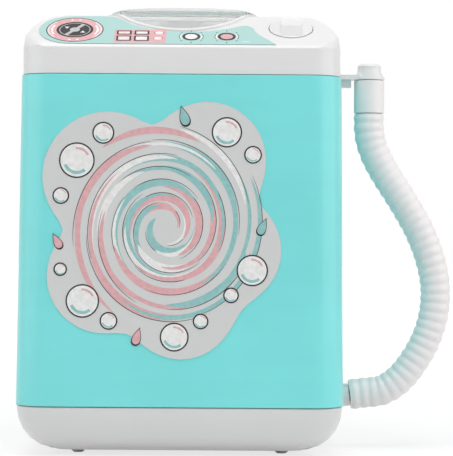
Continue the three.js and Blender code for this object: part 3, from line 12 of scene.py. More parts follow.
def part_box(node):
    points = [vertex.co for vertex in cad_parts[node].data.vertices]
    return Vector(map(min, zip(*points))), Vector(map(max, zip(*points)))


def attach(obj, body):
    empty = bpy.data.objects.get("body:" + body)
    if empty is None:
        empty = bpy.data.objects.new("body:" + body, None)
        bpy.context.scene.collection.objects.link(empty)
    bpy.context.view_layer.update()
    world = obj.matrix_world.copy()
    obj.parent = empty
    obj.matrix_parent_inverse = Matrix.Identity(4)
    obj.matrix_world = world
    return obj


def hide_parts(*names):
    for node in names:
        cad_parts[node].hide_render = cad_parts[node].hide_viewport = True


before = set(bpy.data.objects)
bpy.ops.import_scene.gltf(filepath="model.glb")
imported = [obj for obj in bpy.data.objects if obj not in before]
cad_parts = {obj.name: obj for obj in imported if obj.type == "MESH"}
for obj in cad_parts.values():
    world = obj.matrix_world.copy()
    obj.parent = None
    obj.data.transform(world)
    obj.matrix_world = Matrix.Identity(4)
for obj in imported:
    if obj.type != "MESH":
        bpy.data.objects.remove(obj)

log = logging.getLogger("washing_machine")
Color = tuple[float, float, float]
Point = tuple[float, float]
Outline = list[Point]
TURN = 2 * math.pi
# what noise varies about, and the span of it that a soft change of tone takes
NOISE_MIDDLE = 0.5
TONE_SPAN = (0.3, 0.7)


class Body(Enum):
    """The bodies that the added pieces ride on."""

    CASE = "case"


class Operation(Enum):
    """What a Math node does with its inputs."""

    ADD = "ADD"
    SUBTRACT = "SUBTRACT"
    MULTIPLY = "MULTIPLY"
    MAXIMUM = "MAXIMUM"


class Ray(Enum):
    """The kinds of ray that see the plain white background."""

    CAMERA = "Is Camera Ray"
    GLOSSY = "Is Glossy Ray"
    TRANSMISSION = "Is Transmission Ray"


class Value:
    """A socket's value, for use in ordinary expressions."""

    def __init__(self, graph: "Graph", socket: bpy.types.NodeSocket) -> None:
        """Keeps the socket and the graph that its maths is added to."""
        self.graph = graph
        self.socket = socket

    def math(self, operation: Operation, *operands: "Value | float") -> "Value":
        """Adds a Math node with the operands as its inputs, and gives its result."""
        return self.graph.node(
            "ShaderNodeMath", {"operation": operation.value}, dict(enumerate(operands)))

    def __add__(self, other: "Value | float") -> "Value":
        """Sum."""
        return self.math(Operation.ADD, self, other)

    __radd__ = __add__

    def __sub__(self, other: "Value | float") -> "Value":
        """Difference."""
        return self.math(Operation.SUBTRACT, self, other)

    def __rsub__(self, other: "Value | float") -> "Value":
        """Difference from a number."""
        return self.math(Operation.SUBTRACT, other, self)

    def __mul__(self, other: "Value | float") -> "Value":
        """Product."""
        return self.math(Operation.MULTIPLY, self, other)

    __rmul__ = __mul__

    def step(self, low: float, high: float) -> "Value":
        """Adds a smooth rise from 0 to 1.

        Args:
            low: where it leaves 0.
            high: where it reaches 1.

        Returns:
            The risen value.
        """
        return self.graph.node(
            "ShaderNodeMapRange", {"interpolation_type": "SMOOTHSTEP", "clamp": True},
            {"Value": self, "From Min": low, "From Max": high})


class Graph:
    """The shader nodes of one material or world."""

    def __init__(self, owner: bpy.types.Material | bpy.types.World) -> None:
        """Empties the owner's node tree, ready for new nodes.

        Args:
            owner: the material or world that the nodes are for.
        """
        owner.use_nodes = True
        self.nodes = owner.node_tree.nodes
        self.links = owner.node_tree.links
        self.nodes.clear()

    def node(self, kind: str, settings: dict | None = None, inputs: dict | None = None,
             output: int | str = 0) -> Value | None:
        """Adds a node.

        Args:
            kind: the node's type.
            settings: its properties, which are set first.
            inputs: values or links, by the socket's name or number.
            output: the output that is wanted.

        Returns:
            That output, or nothing where the node ends the tree.
        """
        made = self.nodes.new(kind)
        for key, setting in (settings or {}).items():
            setattr(made, key, setting)
        for key, value in (inputs or {}).items():
            if isinstance(value, Value):
                self.links.new(value.socket, made.inputs[key])
            else:
                made.inputs[key].default_value = value
        return Value(self, made.outputs[output]) if made.outputs else None

    def place(self, stretch: Sequence[float] = (1, 1, 1)) -> Value:
        """Gives the point that a pattern is laid by.

        Args:
            stretch: factor for each axis.

        Returns:
            The point on the piece in metres, each axis times its factor.
        """
        point = self.node("ShaderNodeTexCoord", output="Object")
        return self.node("ShaderNodeVectorMath", {"operation": "MULTIPLY"},
                         {0: point, 1: tuple(stretch)})

    def noise(self, size: float, detail: float = 2,
              stretch: Sequence[float] = (1, 1, 1)) -> Value:
        """Soft noise with patches of a size in metres, and octaves of finer detail."""
        return self.node("ShaderNodeTexNoise", None, {
            "Vector": self.place(stretch), "Scale": 1 / size, "Detail": detail})

    def cells(self, size: float) -> Value:
        """Distance to the nearest of a field of points that lie about size apart."""
        return self.node("ShaderNodeTexVoronoi", None,
                         {"Vector": self.place(), "Scale": 1 / size})

    def blend(self, share: "Value | float", first: "Value | Color",
              second: "Value | Color") -> Value:
        """Mixes two colours.

        Args:
            share: share of the second.
            first: the colour at a share of 0.
            second: the colour at a share of 1.

        Returns:
            The mixed colour.
        """
        first, second = (
            tone if isinstance(tone, Value) else (*tone, 1) for tone in (first, second))
        return self.node("ShaderNodeMix", {"data_type": "RGBA"},
                         {0: share, 6: first, 7: second}, 2)

    def bump(self, height: Value, depth: float, edge: float = 0.0) -> Value:
        """Adds a fine relief to the surface.

        Args:
            height: the relief, from 0 to 1.
            depth: what a height of 1 stands for in metres.
            edge: radius of the round that sharp edges show, or 0 for none.

        Returns:
            The relief's normal.
        """
        inputs = {"Height": height, "Distance": depth}
        if edge:
            inputs["Normal"] = self.node("ShaderNodeBevel", {"samples": 6}, {"Radius": edge})
        return self.node("ShaderNodeBump", None, inputs)

    def principled(self, **sockets: "Value | float | Color") -> Value:
        """Adds a Principled surface.

        Args:
            sockets: value of each socket, whose name has its spaces as underscores.

        Returns:
            The surface shader.
        """
        inputs = {}
        for name, value in sockets.items():
            is_color = isinstance(value, tuple) and len(value) == 3
            inputs[name.replace("_", " ")] = (*value, 1) if is_color else value
        return self.node("ShaderNodeBsdfPrincipled", None, inputs)

    def seen(self, *rays: Ray) -> Value:
        """1 for the named kinds of ray, and otherwise 0.

        Args:
            rays: the kinds of ray.

        Returns:
            The mask.
        """
        masks = [self.node("ShaderNodeLightPath", output=ray.value) for ray in rays]
        joined = masks[0]
        for mask in masks[1:]:
            joined = joined.math(Operation.MAXIMUM, joined, mask)
        return joined


def tinted(color: Color, share: float) -> Color:
    """The colour made darker, or lighter where the share is over 1."""
    return tuple(min(channel * share, 1) for channel in color)


@dataclass(frozen=True)
class Finish:
    """What every finish has: its name, the record's slot, a colour and a roughness."""

    name: str
    slot: str
    color: Color
    roughness: float

    def surface(self, graph: Graph) -> Value:
        """The surface shader, which each kind of finish builds in its own way."""
        raise NotImplementedError

    def material(self) -> bpy.types.Material:
        """Makes the material when it is first asked for.

        Returns:
            The material of this finish.
        """
        made = bpy.data.materials.get(self.name)
        if made is None:
            made = bpy.data.materials.new(self.name)
            graph = Graph(made)
            graph.node("ShaderNodeOutputMaterial", None, {"Surface": self.surface(graph)})
        return made


@dataclass(frozen=True)
class Moulded(Finish):
    """Moulded plastic with a cloudy tone, fine peel, faint flow lines and light scuffs."""

    coat: float = 0.25
    peel: float = 0.000006
    cloud: float = 0.035
    edge: float = 0.0006
    cloud_size: float = 0.055
    flow_size: float = 0.03
    flow_stretch: Sequence[float] = (0.35, 0.35, 3.2)
    flow_share: float = 0.3
    peel_size: float = 0.0011
    peel_rough: float = 0.10
    scuff_size: float = 0.004
    scuff_stretch: Sequence[float] = (0.12, 1.0, 1.6)
    scuff_span: Sequence[float] = (0.66, 0.74)
    scuff_rough: float = 0.07
    coat_rough: float = 0.12
    bend: float = 1.52

    def surface(self, graph: Graph) -> Value:
        """Builds the nodes of moulded plastic.

        Args:
            graph: the material's graph.

        Returns:
            The surface shader.
        """
        cloud = graph.noise(self.cloud_size, 3)
        flow = graph.noise(self.flow_size, 2, self.flow_stretch)
        peel = graph.noise(self.peel_size, 2)
        scuff = graph.noise(self.scuff_size, 4, self.scuff_stretch).step(*self.scuff_span)
        tone = cloud * (1 - self.flow_share) + flow * self.flow_share
        color = graph.blend(tone.step(*TONE_SPAN), tinted(self.color, 1 - self.cloud),
                            tinted(self.color, 1 + self.cloud))
        rough = (self.roughness + (peel - NOISE_MIDDLE) * self.peel_rough
                 + scuff * self.scuff_rough)
        return graph.principled(
            Base_Color=color, Roughness=rough, Normal=graph.bump(peel, self.peel, self.edge),
            Coat_Weight=self.coat, Coat_Roughness=self.coat_rough, IOR=self.bend)


@dataclass(frozen=True)
class Film(Finish):
    """Printed label film: a fine screen of dots and a faint weave under a clear laminate."""

    dots: float = 0.02
    dot_size: float = 0.00042
    dot_span: Sequence[float] = (0.28, 0.52)
    dot_share: float = 0.5
    mottle_size: float = 0.006
    mottle_rough: float = 0.12
    ripple_size: float = 0.009
    ripple_depth: float = 0.00003
    gloss: float = 0.25

    def surface(self, graph: Graph) -> Value:
        """Builds the nodes of printed film.

        Args:
            graph: the material's graph.

        Returns:
            The surface shader.
        """
        screen = graph.cells(self.dot_size).step(*self.dot_span)
        mottle = graph.noise(self.mottle_size, 4)
        color = graph.blend(screen * self.dot_share + mottle * (1 - self.dot_share),
                            tinted(self.color, 1 - self.dots),
                            tinted(self.color, 1 + self.dots))
        ripple = graph.noise(self.ripple_size, 2)
        return graph.principled(
            Base_Color=color,
            Roughness=self.roughness + (mottle - NOISE_MIDDLE) * self.mottle_rough,
            Normal=graph.bump(ripple, self.ripple_depth), Specular_IOR_Level=self.gloss)


@dataclass(frozen=True)
class Ink(Finish):
    """Screen-printed ink with a slightly uneven body."""

    body_size: float = 0.0016
    thin: float = 0.94
    thick: float = 1.06
    grain_size: float = 0.00018
    grain_rough: float = 0.1
    grain_depth: float = 0.000002
    gloss: float = 0.2

    def surface(self, graph: Graph) -> Value:
        """Builds the nodes of an ink.

        Args:
            graph: the material's graph.

        Returns:
            The surface shader.
        """
        body = graph.noise(self.body_size, 4)
        grain = graph.noise(self.grain_size, 1)
        color = graph.blend(body.step(*TONE_SPAN), tinted(self.color, self.thin),
                            tinted(self.color, self.thick))
        return graph.principled(
            Base_Color=color,
            Roughness=self.roughness + (grain - NOISE_MIDDLE) * self.grain_rough,
            Normal=graph.bump(grain, self.grain_depth), Specular_IOR_Level=self.gloss)


@dataclass(frozen=True)
class Metal(Finish):
    """Plated or turned metal with fine drawn lines and dull patches."""

    lines: Sequence[float] = (1.0, 1.0, 9.0)
    line_size: float = 0.0009
    line_rough: float = 0.12
    line_depth: float = 0.000006
    dull_size: float = 0.004
    dull_rough: float = 0.14
    dark: float = 0.86
    bright: float = 1.08
    metallic: float = 0.95

    def surface(self, graph: Graph) -> Value:
        """Builds the nodes of a metal.

        Args:
            graph: the material's graph.

        Returns:
            The surface shader.
        """
        drawn = graph.noise(self.line_size, 3, self.lines)
        dull = graph.noise(self.dull_size, 3)
        color = graph.blend(dull, tinted(self.color, self.dark),
                            tinted(self.color, self.bright))
        return graph.principled(
            Base_Color=color, Metallic=self.metallic,
            Roughness=(self.roughness + dull * self.dull_rough
                       + (drawn - NOISE_MIDDLE) * self.line_rough),
            Normal=graph.bump(drawn, self.line_depth))


@dataclass(frozen=True)
class Soft(Finish):
    """Rubber, silicone or soft insulation: matt, with a pebbled skin and pale bloom."""

    bloom: float = 0.12
    pebble: float = 0.0006
    clear: float = 0.0
    bloom_size: float = 0.006
    bloom_span: Sequence[float] = (0.5, 0.75)
    bloom_color: Color = (0.8, 0.8, 0.8)
    pebble_middle: float = 0.4
    pebble_rough: float = 0.1
    pebble_depth: float = 0.00002
    bend: float = 1.41

    def surface(self, graph: Graph) -> Value:
        """Builds the nodes of a rubber or silicone.

        Args:
            graph: the material's graph.

        Returns:
            The surface shader.
        """
        pebble = graph.cells(self.pebble)
        bloom = graph.noise(self.bloom_size, 4).step(*self.bloom_span)
        color = graph.blend(bloom * self.bloom, self.color, self.bloom_color)
        return graph.principled(
            Base_Color=color,
            Roughness=self.roughness + (pebble - self.pebble_middle) * self.pebble_rough,
            Normal=graph.bump(pebble, self.pebble_depth), Transmission_Weight=self.clear,
            IOR=self.bend)


@dataclass(frozen=True)
class Clear(Finish):
    """Clear moulded plastic with faint haze patches and fine scratches."""

    haze: float = 0.05
    haze_size: float = 0.012
    haze_tone: float = 0.97
    haze_depth: float = 0.00004
    scratch_size: float = 0.0025
    scratch_stretch: Sequence[float] = (0.15, 1.0, 1.0)
    scratch_span: Sequence[float] = (0.68, 0.74)
    scratch_rough: float = 0.05
    clear: float = 0.82
    bend: float = 1.46
    coat: float = 0.2
    coat_rough: float = 0.05

    def surface(self, graph: Graph) -> Value:
        """Builds the nodes of clear plastic.

        Args:
            graph: the material's graph.

        Returns:
            The surface shader.
        """
        haze = graph.noise(self.haze_size, 4)
        scratch = graph.noise(self.scratch_size, 4, self.scratch_stretch)
        scratch = scratch.step(*self.scratch_span)
        color = graph.blend(haze, tinted(self.color, self.haze_tone), self.color)
        return graph.principled(
            Base_Color=color,
            Roughness=self.roughness + haze * self.haze + scratch * self.scratch_rough,
            Normal=graph.bump(haze, self.haze_depth), Transmission_Weight=self.clear,
            IOR=self.bend, Coat_Weight=self.coat, Coat_Roughness=self.coat_rough)


class Palette(Enum):
    """Every finish of the machine."""

    AQUA = Moulded("aqua_case", "aqua_plastic", (0.19, 0.76, 0.755), 0.34, 0.3)
    WHITE = Moulded("white_case", "white_plastic", (0.77, 0.77, 0.768), 0.3, 0.2,
                    peel=0.000003, cloud=0.010, edge=0.0)
    # The base's white is the case's white plastic made darker: painted shade for the lower
    # part, which gets less light
    BASE = Moulded("white_base", "white_plastic", (0.72, 0.715, 0.713), 0.3, 0.2,
                   peel=0.000003, cloud=0.010, edge=0.0009)
    TUB = Moulded("tub_teal", "tub_plastic", (0.10, 0.47, 0.42), 0.3)
    GREY = Moulded("grey_acetal", "grey_plastic", (0.27, 0.29, 0.30), 0.45, 0.0)
    DARK = Moulded("black_nylon", "dark_plastic", (0.024, 0.026, 0.03), 0.5, 0.0)
    GEAR = Moulded("natural_acetal", "gear_plastic", (0.80, 0.77, 0.68), 0.42, 0.0)
    # The hose's colour leans warm as painted light: it cancels the teal light that the aqua
    # case throws onto the hose
    HOSE = Moulded("hose_polyethylene", "hose_plastic", (0.86, 0.82, 0.82), 0.45, 0.3,
                   cloud=0.015, edge=0.0)
    CELL = Moulded("cell_wrap_blue", "cell_wrap", (0.047, 0.10, 0.19), 0.25, 0.5)
    PANEL = Film("panel_film", "panel_label_film", (0.415, 0.645, 0.62), 0.4)
    LABEL = Film("front_film", "front_label_film", (0.66, 0.67, 0.665), 0.45)
    PINK = Ink("ink_pink", "front_label_film", (0.74, 0.42, 0.44), 0.42)
    BLUSH = Ink("ink_blush", "panel_label_film", (0.84, 0.72, 0.71), 0.42)
    TEAL = Ink("ink_teal", "front_label_film", (0.30, 0.56, 0.555), 0.42)
    CHARCOAL = Ink("ink_charcoal", "front_label_film", (0.032, 0.028, 0.028), 0.45)
    PAPER = Ink("ink_white", "front_label_film", (0.84, 0.84, 0.83), 0.42)
    SILVER = Ink("ink_silver", "panel_label_film", (0.52, 0.53, 0.53), 0.3)
    STEEL = Metal("zinc_steel", "screw_steel", (0.60, 0.61, 0.62), 0.24)
    BRASS = Metal("turned_brass", "bush_brass", (0.66, 0.45, 0.17), 0.24)
    SEAL = Soft("nitrile", "seal_rubber", (0.03, 0.032, 0.035), 0.7)
    FOOT = Soft("foot_rubber", "foot_rubber", (0.88, 0.88, 0.87), 0.75)
    SILICONE = Soft("drain_silicone", "drain_silicone", (0.82, 0.81, 0.76), 0.35,
                    clear=0.35)
    RED = Soft("wire_red", "wire_red", (0.46, 0.042, 0.034), 0.45, 0.04)
    BLUE = Soft("wire_blue", "wire_blue", (0.042, 0.14, 0.39), 0.45, 0.04)
    BLACK = Soft("wire_black", "wire_black", (0.02, 0.02, 0.023), 0.45, 0.04)
    CLEAR = Clear("clear_styrene", "clear_plastic", (0.955, 0.963, 0.962), 0.05)

    def on(self, piece: bpy.types.Object) -> None:
        """Gives the piece this finish alone."""
        piece.data.materials.clear()
        piece.data.materials.append(self.value.material())


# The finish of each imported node, by the start of its name.
NODE_FINISHES: dict[str, Palette] = {
    "body_shell": Palette.AQUA, "base_housing": Palette.BASE, "foot": Palette.FOOT,
    "battery_door": Palette.WHITE, "battery_1": Palette.CELL, "battery_2": Palette.CELL,
    "top_cover": Palette.WHITE, "lid": Palette.CLEAR, "lid_hinge_pin": Palette.STEEL,
    "selector_knob": Palette.WHITE, "switch_shaft": Palette.GREY,
    "switch_body": Palette.DARK, "panel_label": Palette.PANEL,
    "front_label": Palette.LABEL, "wash_tub": Palette.TUB, "pulsator": Palette.WHITE,
    "pulsator_shaft": Palette.STEEL, "shaft_bush": Palette.BRASS,
    "shaft_seal": Palette.SEAL, "driven_gear": Palette.GEAR,
    "motor_pinion": Palette.GEAR, "gear_plate": Palette.GREY,
    "motor_end_cap": Palette.DARK, "drain_spout": Palette.WHITE,
    "drain_tube": Palette.SILICONE, "hose_cuff": Palette.HOSE,
    "hose_holder": Palette.WHITE, "wire_battery": Palette.RED,
    "wire_switch": Palette.BLUE, "wire_motor": Palette.BLACK,
}


def add_piece(name: str, vertices: Iterable, faces: Iterable, finish: Palette, body: Body,
              sharp: float = math.radians(35)) -> bpy.types.Object:
    """Makes a mesh piece, dresses it and lets it ride on a body.

    Args:
        name: the piece's name.
        vertices: points in the frame.
        faces: tuples of vertex numbers, seen from outside.
        finish: its finish.
        body: the body that carries it.
        sharp: edges that turn more than this angle stay sharp.

    Returns:
        The new object.
    """
    mesh = bpy.data.meshes.new(name)
    mesh.from_pydata([tuple(point) for point in vertices], [], [tuple(f) for f in faces])
    mesh.validate()
    mesh.shade_smooth()
    mesh.set_sharp_from_angle(angle=sharp)
    piece = bpy.data.objects.new(name, mesh)
    bpy.context.scene.collection.objects.link(piece)
    finish.on(piece)
    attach(piece, body.value)
    log.info("%s: %d faces, %s", name, len(mesh.polygons), finish.name)
    return piece


def circle(centre: Point, radius: float, steps: int = 48, start: float = 0,
           sweep: float = TURN) -> Outline:
    """Lays points round a circle, or along an arc where the sweep is less than a turn.

    Args:
        centre: its centre.
        radius: its radius.
        steps: sides of the circle or arc.
        start: angle of the first point.
        sweep: angle that it covers.

    Returns:
        The points in order.
    """
    count = steps if sweep == TURN else steps + 1
    return [(centre[0] + radius * math.cos(start + sweep * step / steps),
             centre[1] + radius * math.sin(start + sweep * step / steps))
            for step in range(count)]


@dataclass
class FlatFace:
    """The outer face of a flat node: a frame whose z axis points out of the face."""

    node: str
    outward: Vector
    facing: float = 0.9
    matrix: Matrix = field(init=False)
    low: Vector = field(init=False)
    high: Vector = field(init=False)

    def __post_init__(self) -> None:
        """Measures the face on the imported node."""
        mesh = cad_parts[self.node].data
        mesh.calc_loop_triangles()
        faces = [face for face in mesh.loop_triangles
                 if face.normal.dot(self.outward) > self.facing]
        normal = sum((face.normal * face.area for face in faces), Vector()).normalized()
        across = Vector((1, 0, 0))
        along = normal.cross(across).normalized()
        corners = [mesh.vertices[number].co for face in faces for number in face.vertices]
        height = max(corner.dot(normal) for corner in corners)
        self.matrix = Matrix((across, along, normal)).transposed().to_4x4()
        self.matrix.translation = normal * height
        spots = [(corner.dot(across), corner.dot(along)) for corner in corners]
        self.low = Vector((min(spot[0] for spot in spots), min(spot[1] for spot in spots)))
        self.high = Vector((max(spot[0] for spot in spots), max(spot[1] for spot in spots)))


@dataclass
class Printing:
    """Ink on a flat face: plates a few hundredths of a millimetre thick."""

    face: FlatFace
    origin: Vector
    prefix: str
    sink: float = 0.00004
    layers: dict[Palette, list] = field(default_factory=dict)

    def patch(self, ink: Palette, outline: Outline, height: float) -> None:
        """Adds a filled outline of an ink, up to a height above the face."""
        self.layers.setdefault(ink, []).append((outline, None, height))

    def band(self, ink: Palette, left: Outline, right: Outline, height: float,
             closed: bool = False) -> None:
        """Adds a band of an ink between two lines of equal count."""
        self.layers.setdefault(ink, []).append((left, right, height, closed))

    def ring(self, ink: Palette, centre: Point, outer: float, inner: float, height: float,
             start: float = 0, sweep: float = TURN, steps: int = 48) -> None:
        """Adds a ring of an ink, or an arc of one."""
        self.band(ink, circle(centre, outer, steps, start, sweep),
                  circle(centre, inner, steps, start, sweep), height, sweep == TURN)

    def stroke(self, ink: Palette, line: Outline, width: Callable[[float], float],
               height: float) -> None:
        """Adds a brush stroke.

        Args:
            ink: its ink.
            line: points along its middle.
            width: its width at a share of its length.
            height: its top above the face.
        """
        middle = np.array(line)
        way = np.gradient(middle, axis=0)
        way /= np.linalg.norm(way, axis=1)[:, None]
        aside = np.column_stack([-way[:, 1], way[:, 0]])
        shares = np.linspace(0, 1, len(middle))
        half = np.array([width(share) / 2 for share in shares])[:, None]
        self.band(ink, [tuple(p) for p in middle + aside * half],
                  [tuple(p) for p in middle - aside * half], height)

    def place(self, spot: Point, height: float) -> Vector:
        """A point of the print in the frame."""
        return self.face.matrix @ Vector(
            (self.origin.x + spot[0], self.origin.y + spot[1], height))

    def pull(self) -> list[bpy.types.Object]:
        """Makes one piece of each ink."""
        return [self.pull_ink(ink, shapes) for ink, shapes in self.layers.items()]

    def pull_ink(self, ink: Palette, shapes: list) -> bpy.types.Object:
        """Makes the piece of one ink.

        Args:
            ink: the ink.
            shapes: its patches and bands.

        Returns:
            The ink's piece.
        """
        vertices: list[Vector] = []
        faces: list[tuple[int, ...]] = []
        for shape in shapes:
            left, right, height = shape[:3]
            first = len(vertices)
            loop = left if right is None else left + right
            vertices += [self.place(spot, height) for spot in loop]
            vertices += [self.place(spot, -self.sink) for spot in loop]
            if right is None:
                faces += patch_faces(first, left)
            else:
                faces += band_faces(first, len(left), shape[3], left[1], left[0], right[0])
        return add_piece(f"{self.prefix}_{ink.name.lower()}", vertices, faces, ink,
                         Body.CASE)


def turns_left(first: Point, second: Point, third: Point) -> bool:
    """Whether the way through three points bends to the left."""
    return ((second[0] - first[0]) * (third[1] - second[1])
            - (second[1] - first[1]) * (third[0] - second[0])) > 0


def patch_faces(first: int, outline: Outline) -> list[tuple[int, ...]]:
    """Faces of a filled plate whose top loop starts at a vertex number.

    Args:
        first: number of the top loop's first vertex; the lower loop follows the top one.
        outline: the loop's points.

    Returns:
        The top, the underside and the rim.
    """
    count = len(outline)
    area = sum(a[0] * b[1] - b[0] * a[1]
               for a, b in zip(outline, outline[1:] + outline[:1]))
    order = list(range(count)) if area > 0 else list(range(count))[::-1]
    top = [first + step for step in order]
    under = [number + count for number in top]
    rim = [(top[step], under[step], under[(step + 1) % count], top[(step + 1) % count])
           for step in range(count)]
    return [tuple(top), tuple(reversed(under)), *rim]


def band_faces(first: int, count: int, closed: bool, ahead: Point, left: Point,
               right: Point) -> list[tuple[int, ...]]:
    """Faces of a band between two lines.

    Args:
        first: number of the left line's first top vertex; the right line and then both
            lower lines follow.
        count: points in each line.
        closed: whether the band closes on itself.
        ahead: the left line's second point.
        left: its first point.
        right: the right line's first point.

    Returns:
        The top, the underside, both edges and, on an open band, both ends.
    """
    spans = count if closed else count - 1
    faces = []
    for step in range(spans):
        a, b = first + step, first + (step + 1) % count
        c, d = a + count, b + count
        low = 2 * count
        faces += [(a, c, d, b), (a + low, b + low, d + low, c + low),
                  (a, b, b + low, a + low), (c, c + low, d + low, d)]
    if not closed:
        a, c, low = first, first + count, 2 * count
        e, g = a + count - 1, c + count - 1
        faces += [(a, a + low, c + low, c), (e, g, g + low, e + low)]
    if turns_left(right, left, ahead):
        faces = [tuple(reversed(face)) for face in faces]
    return faces


@dataclass
class Studio:
    """Camera, lamps, floor and background of the photograph."""

    camera_aside: float = 0.0177
    camera_back: float = 0.806
    camera_height: float = 0.088
    camera_roll: float = 0.007
    lens: float = 157.9
    floor_half: float = 4.0
    floor_tone: float = 0.9
    floor_glow: float = 1.12
    floor_share: float = 0.65
    # distances at which the floor starts and ends its fade to plain white
    floor_fade: tuple = (0.2, 0.6)
    ambient: float = 0.285
    # name, place, size and power of each soft lamp
    lamps: tuple = (
        ("lamp_top", (-0.05, -0.3, 1.15), 0.9, 8.3),
        ("lamp_left", (-1.25, -0.45, 0.35), 1.5, 6.7),
        ("lamp_right", (1.25, -0.45, 0.4), 1.5, 9.5),
    )

    def build(self, middle: Vector) -> None:
        """Sets up the studio round the middle of the case.

        Args:
            middle: centre of the case's footprint and height.
        """
        self.add_camera(middle)
        self.add_world()
        self.add_floor()
        for name, place, size, power in self.lamps:
            self.add_lamp(name, Vector(place), size, power, middle)
        bpy.context.scene.view_settings.view_transform = "Standard"

    def add_camera(self, middle: Vector) -> None:
        """Adds the camera at the photograph's viewing angle.

        Args:
            middle: centre of the case's footprint and height.
        """
        data = bpy.data.cameras.new("photo_camera")
        data.lens = self.lens
        camera = bpy.data.objects.new("photo_camera", data)
        camera.matrix_world = (
            Matrix.Translation((middle.x + self.camera_aside, -self.camera_back,
                                self.camera_height))
            @ Matrix.Rotation(math.pi / 2, 4, "X")
            @ Matrix.Rotation(self.camera_roll, 4, "Z"))
        bpy.context.scene.collection.objects.link(camera)
        bpy.context.scene.camera = camera

    def add_world(self) -> None:
        """Adds a world that looks white and lights the object with a softer grey."""
        world = bpy.data.worlds.new("studio")
        bpy.context.scene.world = world
        graph = Graph(world)
        soft, white = (
            graph.node("ShaderNodeBackground", None,
                       {"Color": (1, 1, 1, 1), "Strength": strength})
            for strength in (self.ambient, 1.0))
        rays = graph.seen(*Ray)
        surface = graph.node("ShaderNodeMixShader", None, {0: rays, 1: soft, 2: white})
        graph.node("ShaderNodeOutputWorld", None, {"Surface": surface})

    def add_floor(self) -> None:
        """Adds a pale floor that looks white and keeps the object's shadow."""
        material = bpy.data.materials.new("studio_floor")
        graph = Graph(material)
        tone = (self.floor_tone,) * 3 + (1,)
        matt = graph.node("ShaderNodeBsdfDiffuse", None, {"Color": tone})
        glow = graph.node("ShaderNodeEmission", None, {"Strength": self.floor_glow})
        rays = graph.seen(*Ray)
        away = graph.node("ShaderNodeVectorMath", {"operation": "LENGTH"},
                          {0: graph.place()}, "Value")
        share = self.floor_share + (1 - self.floor_share) * away.step(*self.floor_fade)
        surface = graph.node("ShaderNodeMixShader", None,
                             {0: rays * share, 1: matt, 2: glow})
        graph.node("ShaderNodeOutputMaterial", None, {"Surface": surface})
        half = self.floor_half
        mesh = bpy.data.meshes.new("studio_floor")
        mesh.from_pydata([(-half, -half, 0), (half, -half, 0), (half, half, 0),
                          (-half, half, 0)], [], [(0, 1, 2, 3)])
        mesh.materials.append(material)
        floor = bpy.data.objects.new("studio_floor", mesh)
        bpy.context.scene.collection.objects.link(floor)

    def add_lamp(self, name: str, place: Vector, size: float, power: float,
                 middle: Vector) -> None:
        """Adds one soft square lamp.

        Args:
            name: its name.
            place: where it hangs.
            size: its width and height.
            power: its power in watts.
            middle: the point that it faces.
        """
        data = bpy.data.lights.new(name, "AREA")
        data.size = size
        data.energy = power
        lamp = bpy.data.objects.new(name, data)
        lamp.location = place
        lamp.rotation_euler = (middle - place).to_track_quat("-Z", "Y").to_euler()
        bpy.context.scene.collection.objects.link(lamp)


def smooth_route(points: np.ndarray, steps: int = 24) -> np.ndarray:
    """A centripetal Catmull-Rom curve through points.

    Args:
        points: the points that it passes, one a row.
        steps: points of the curve in each span.

    Returns:
        Points along the curve, one a row.
    """
    padded = np.vstack([2 * points[0] - points[1], points, 2 * points[-1] - points[-2]])
    knots = np.sqrt(np.linalg.norm(np.diff(padded, axis=0), axis=1))
    share = np.linspace(0, 1, steps, endpoint=False)[:, None]
    curve = []
    for span in range(1, len(padded) - 2):
        p0, p1, p2, p3 = padded[span - 1:span + 3]
        d0, d1, d2 = knots[span - 1:span + 2]
        leave = ((p1 - p0) / d0 - (p2 - p0) / (d0 + d1) + (p2 - p1) / d1) * d1
        arrive = ((p2 - p1) / d1 - (p3 - p1) / (d1 + d2) + (p3 - p2) / d2) * d1
        curve.append(p1 + leave * share
                     + (3 * (p2 - p1) - 2 * leave - arrive) * share ** 2
                     + (2 * (p1 - p2) + leave + arrive) * share ** 3)
    return np.vstack([*curve, points[-1]])


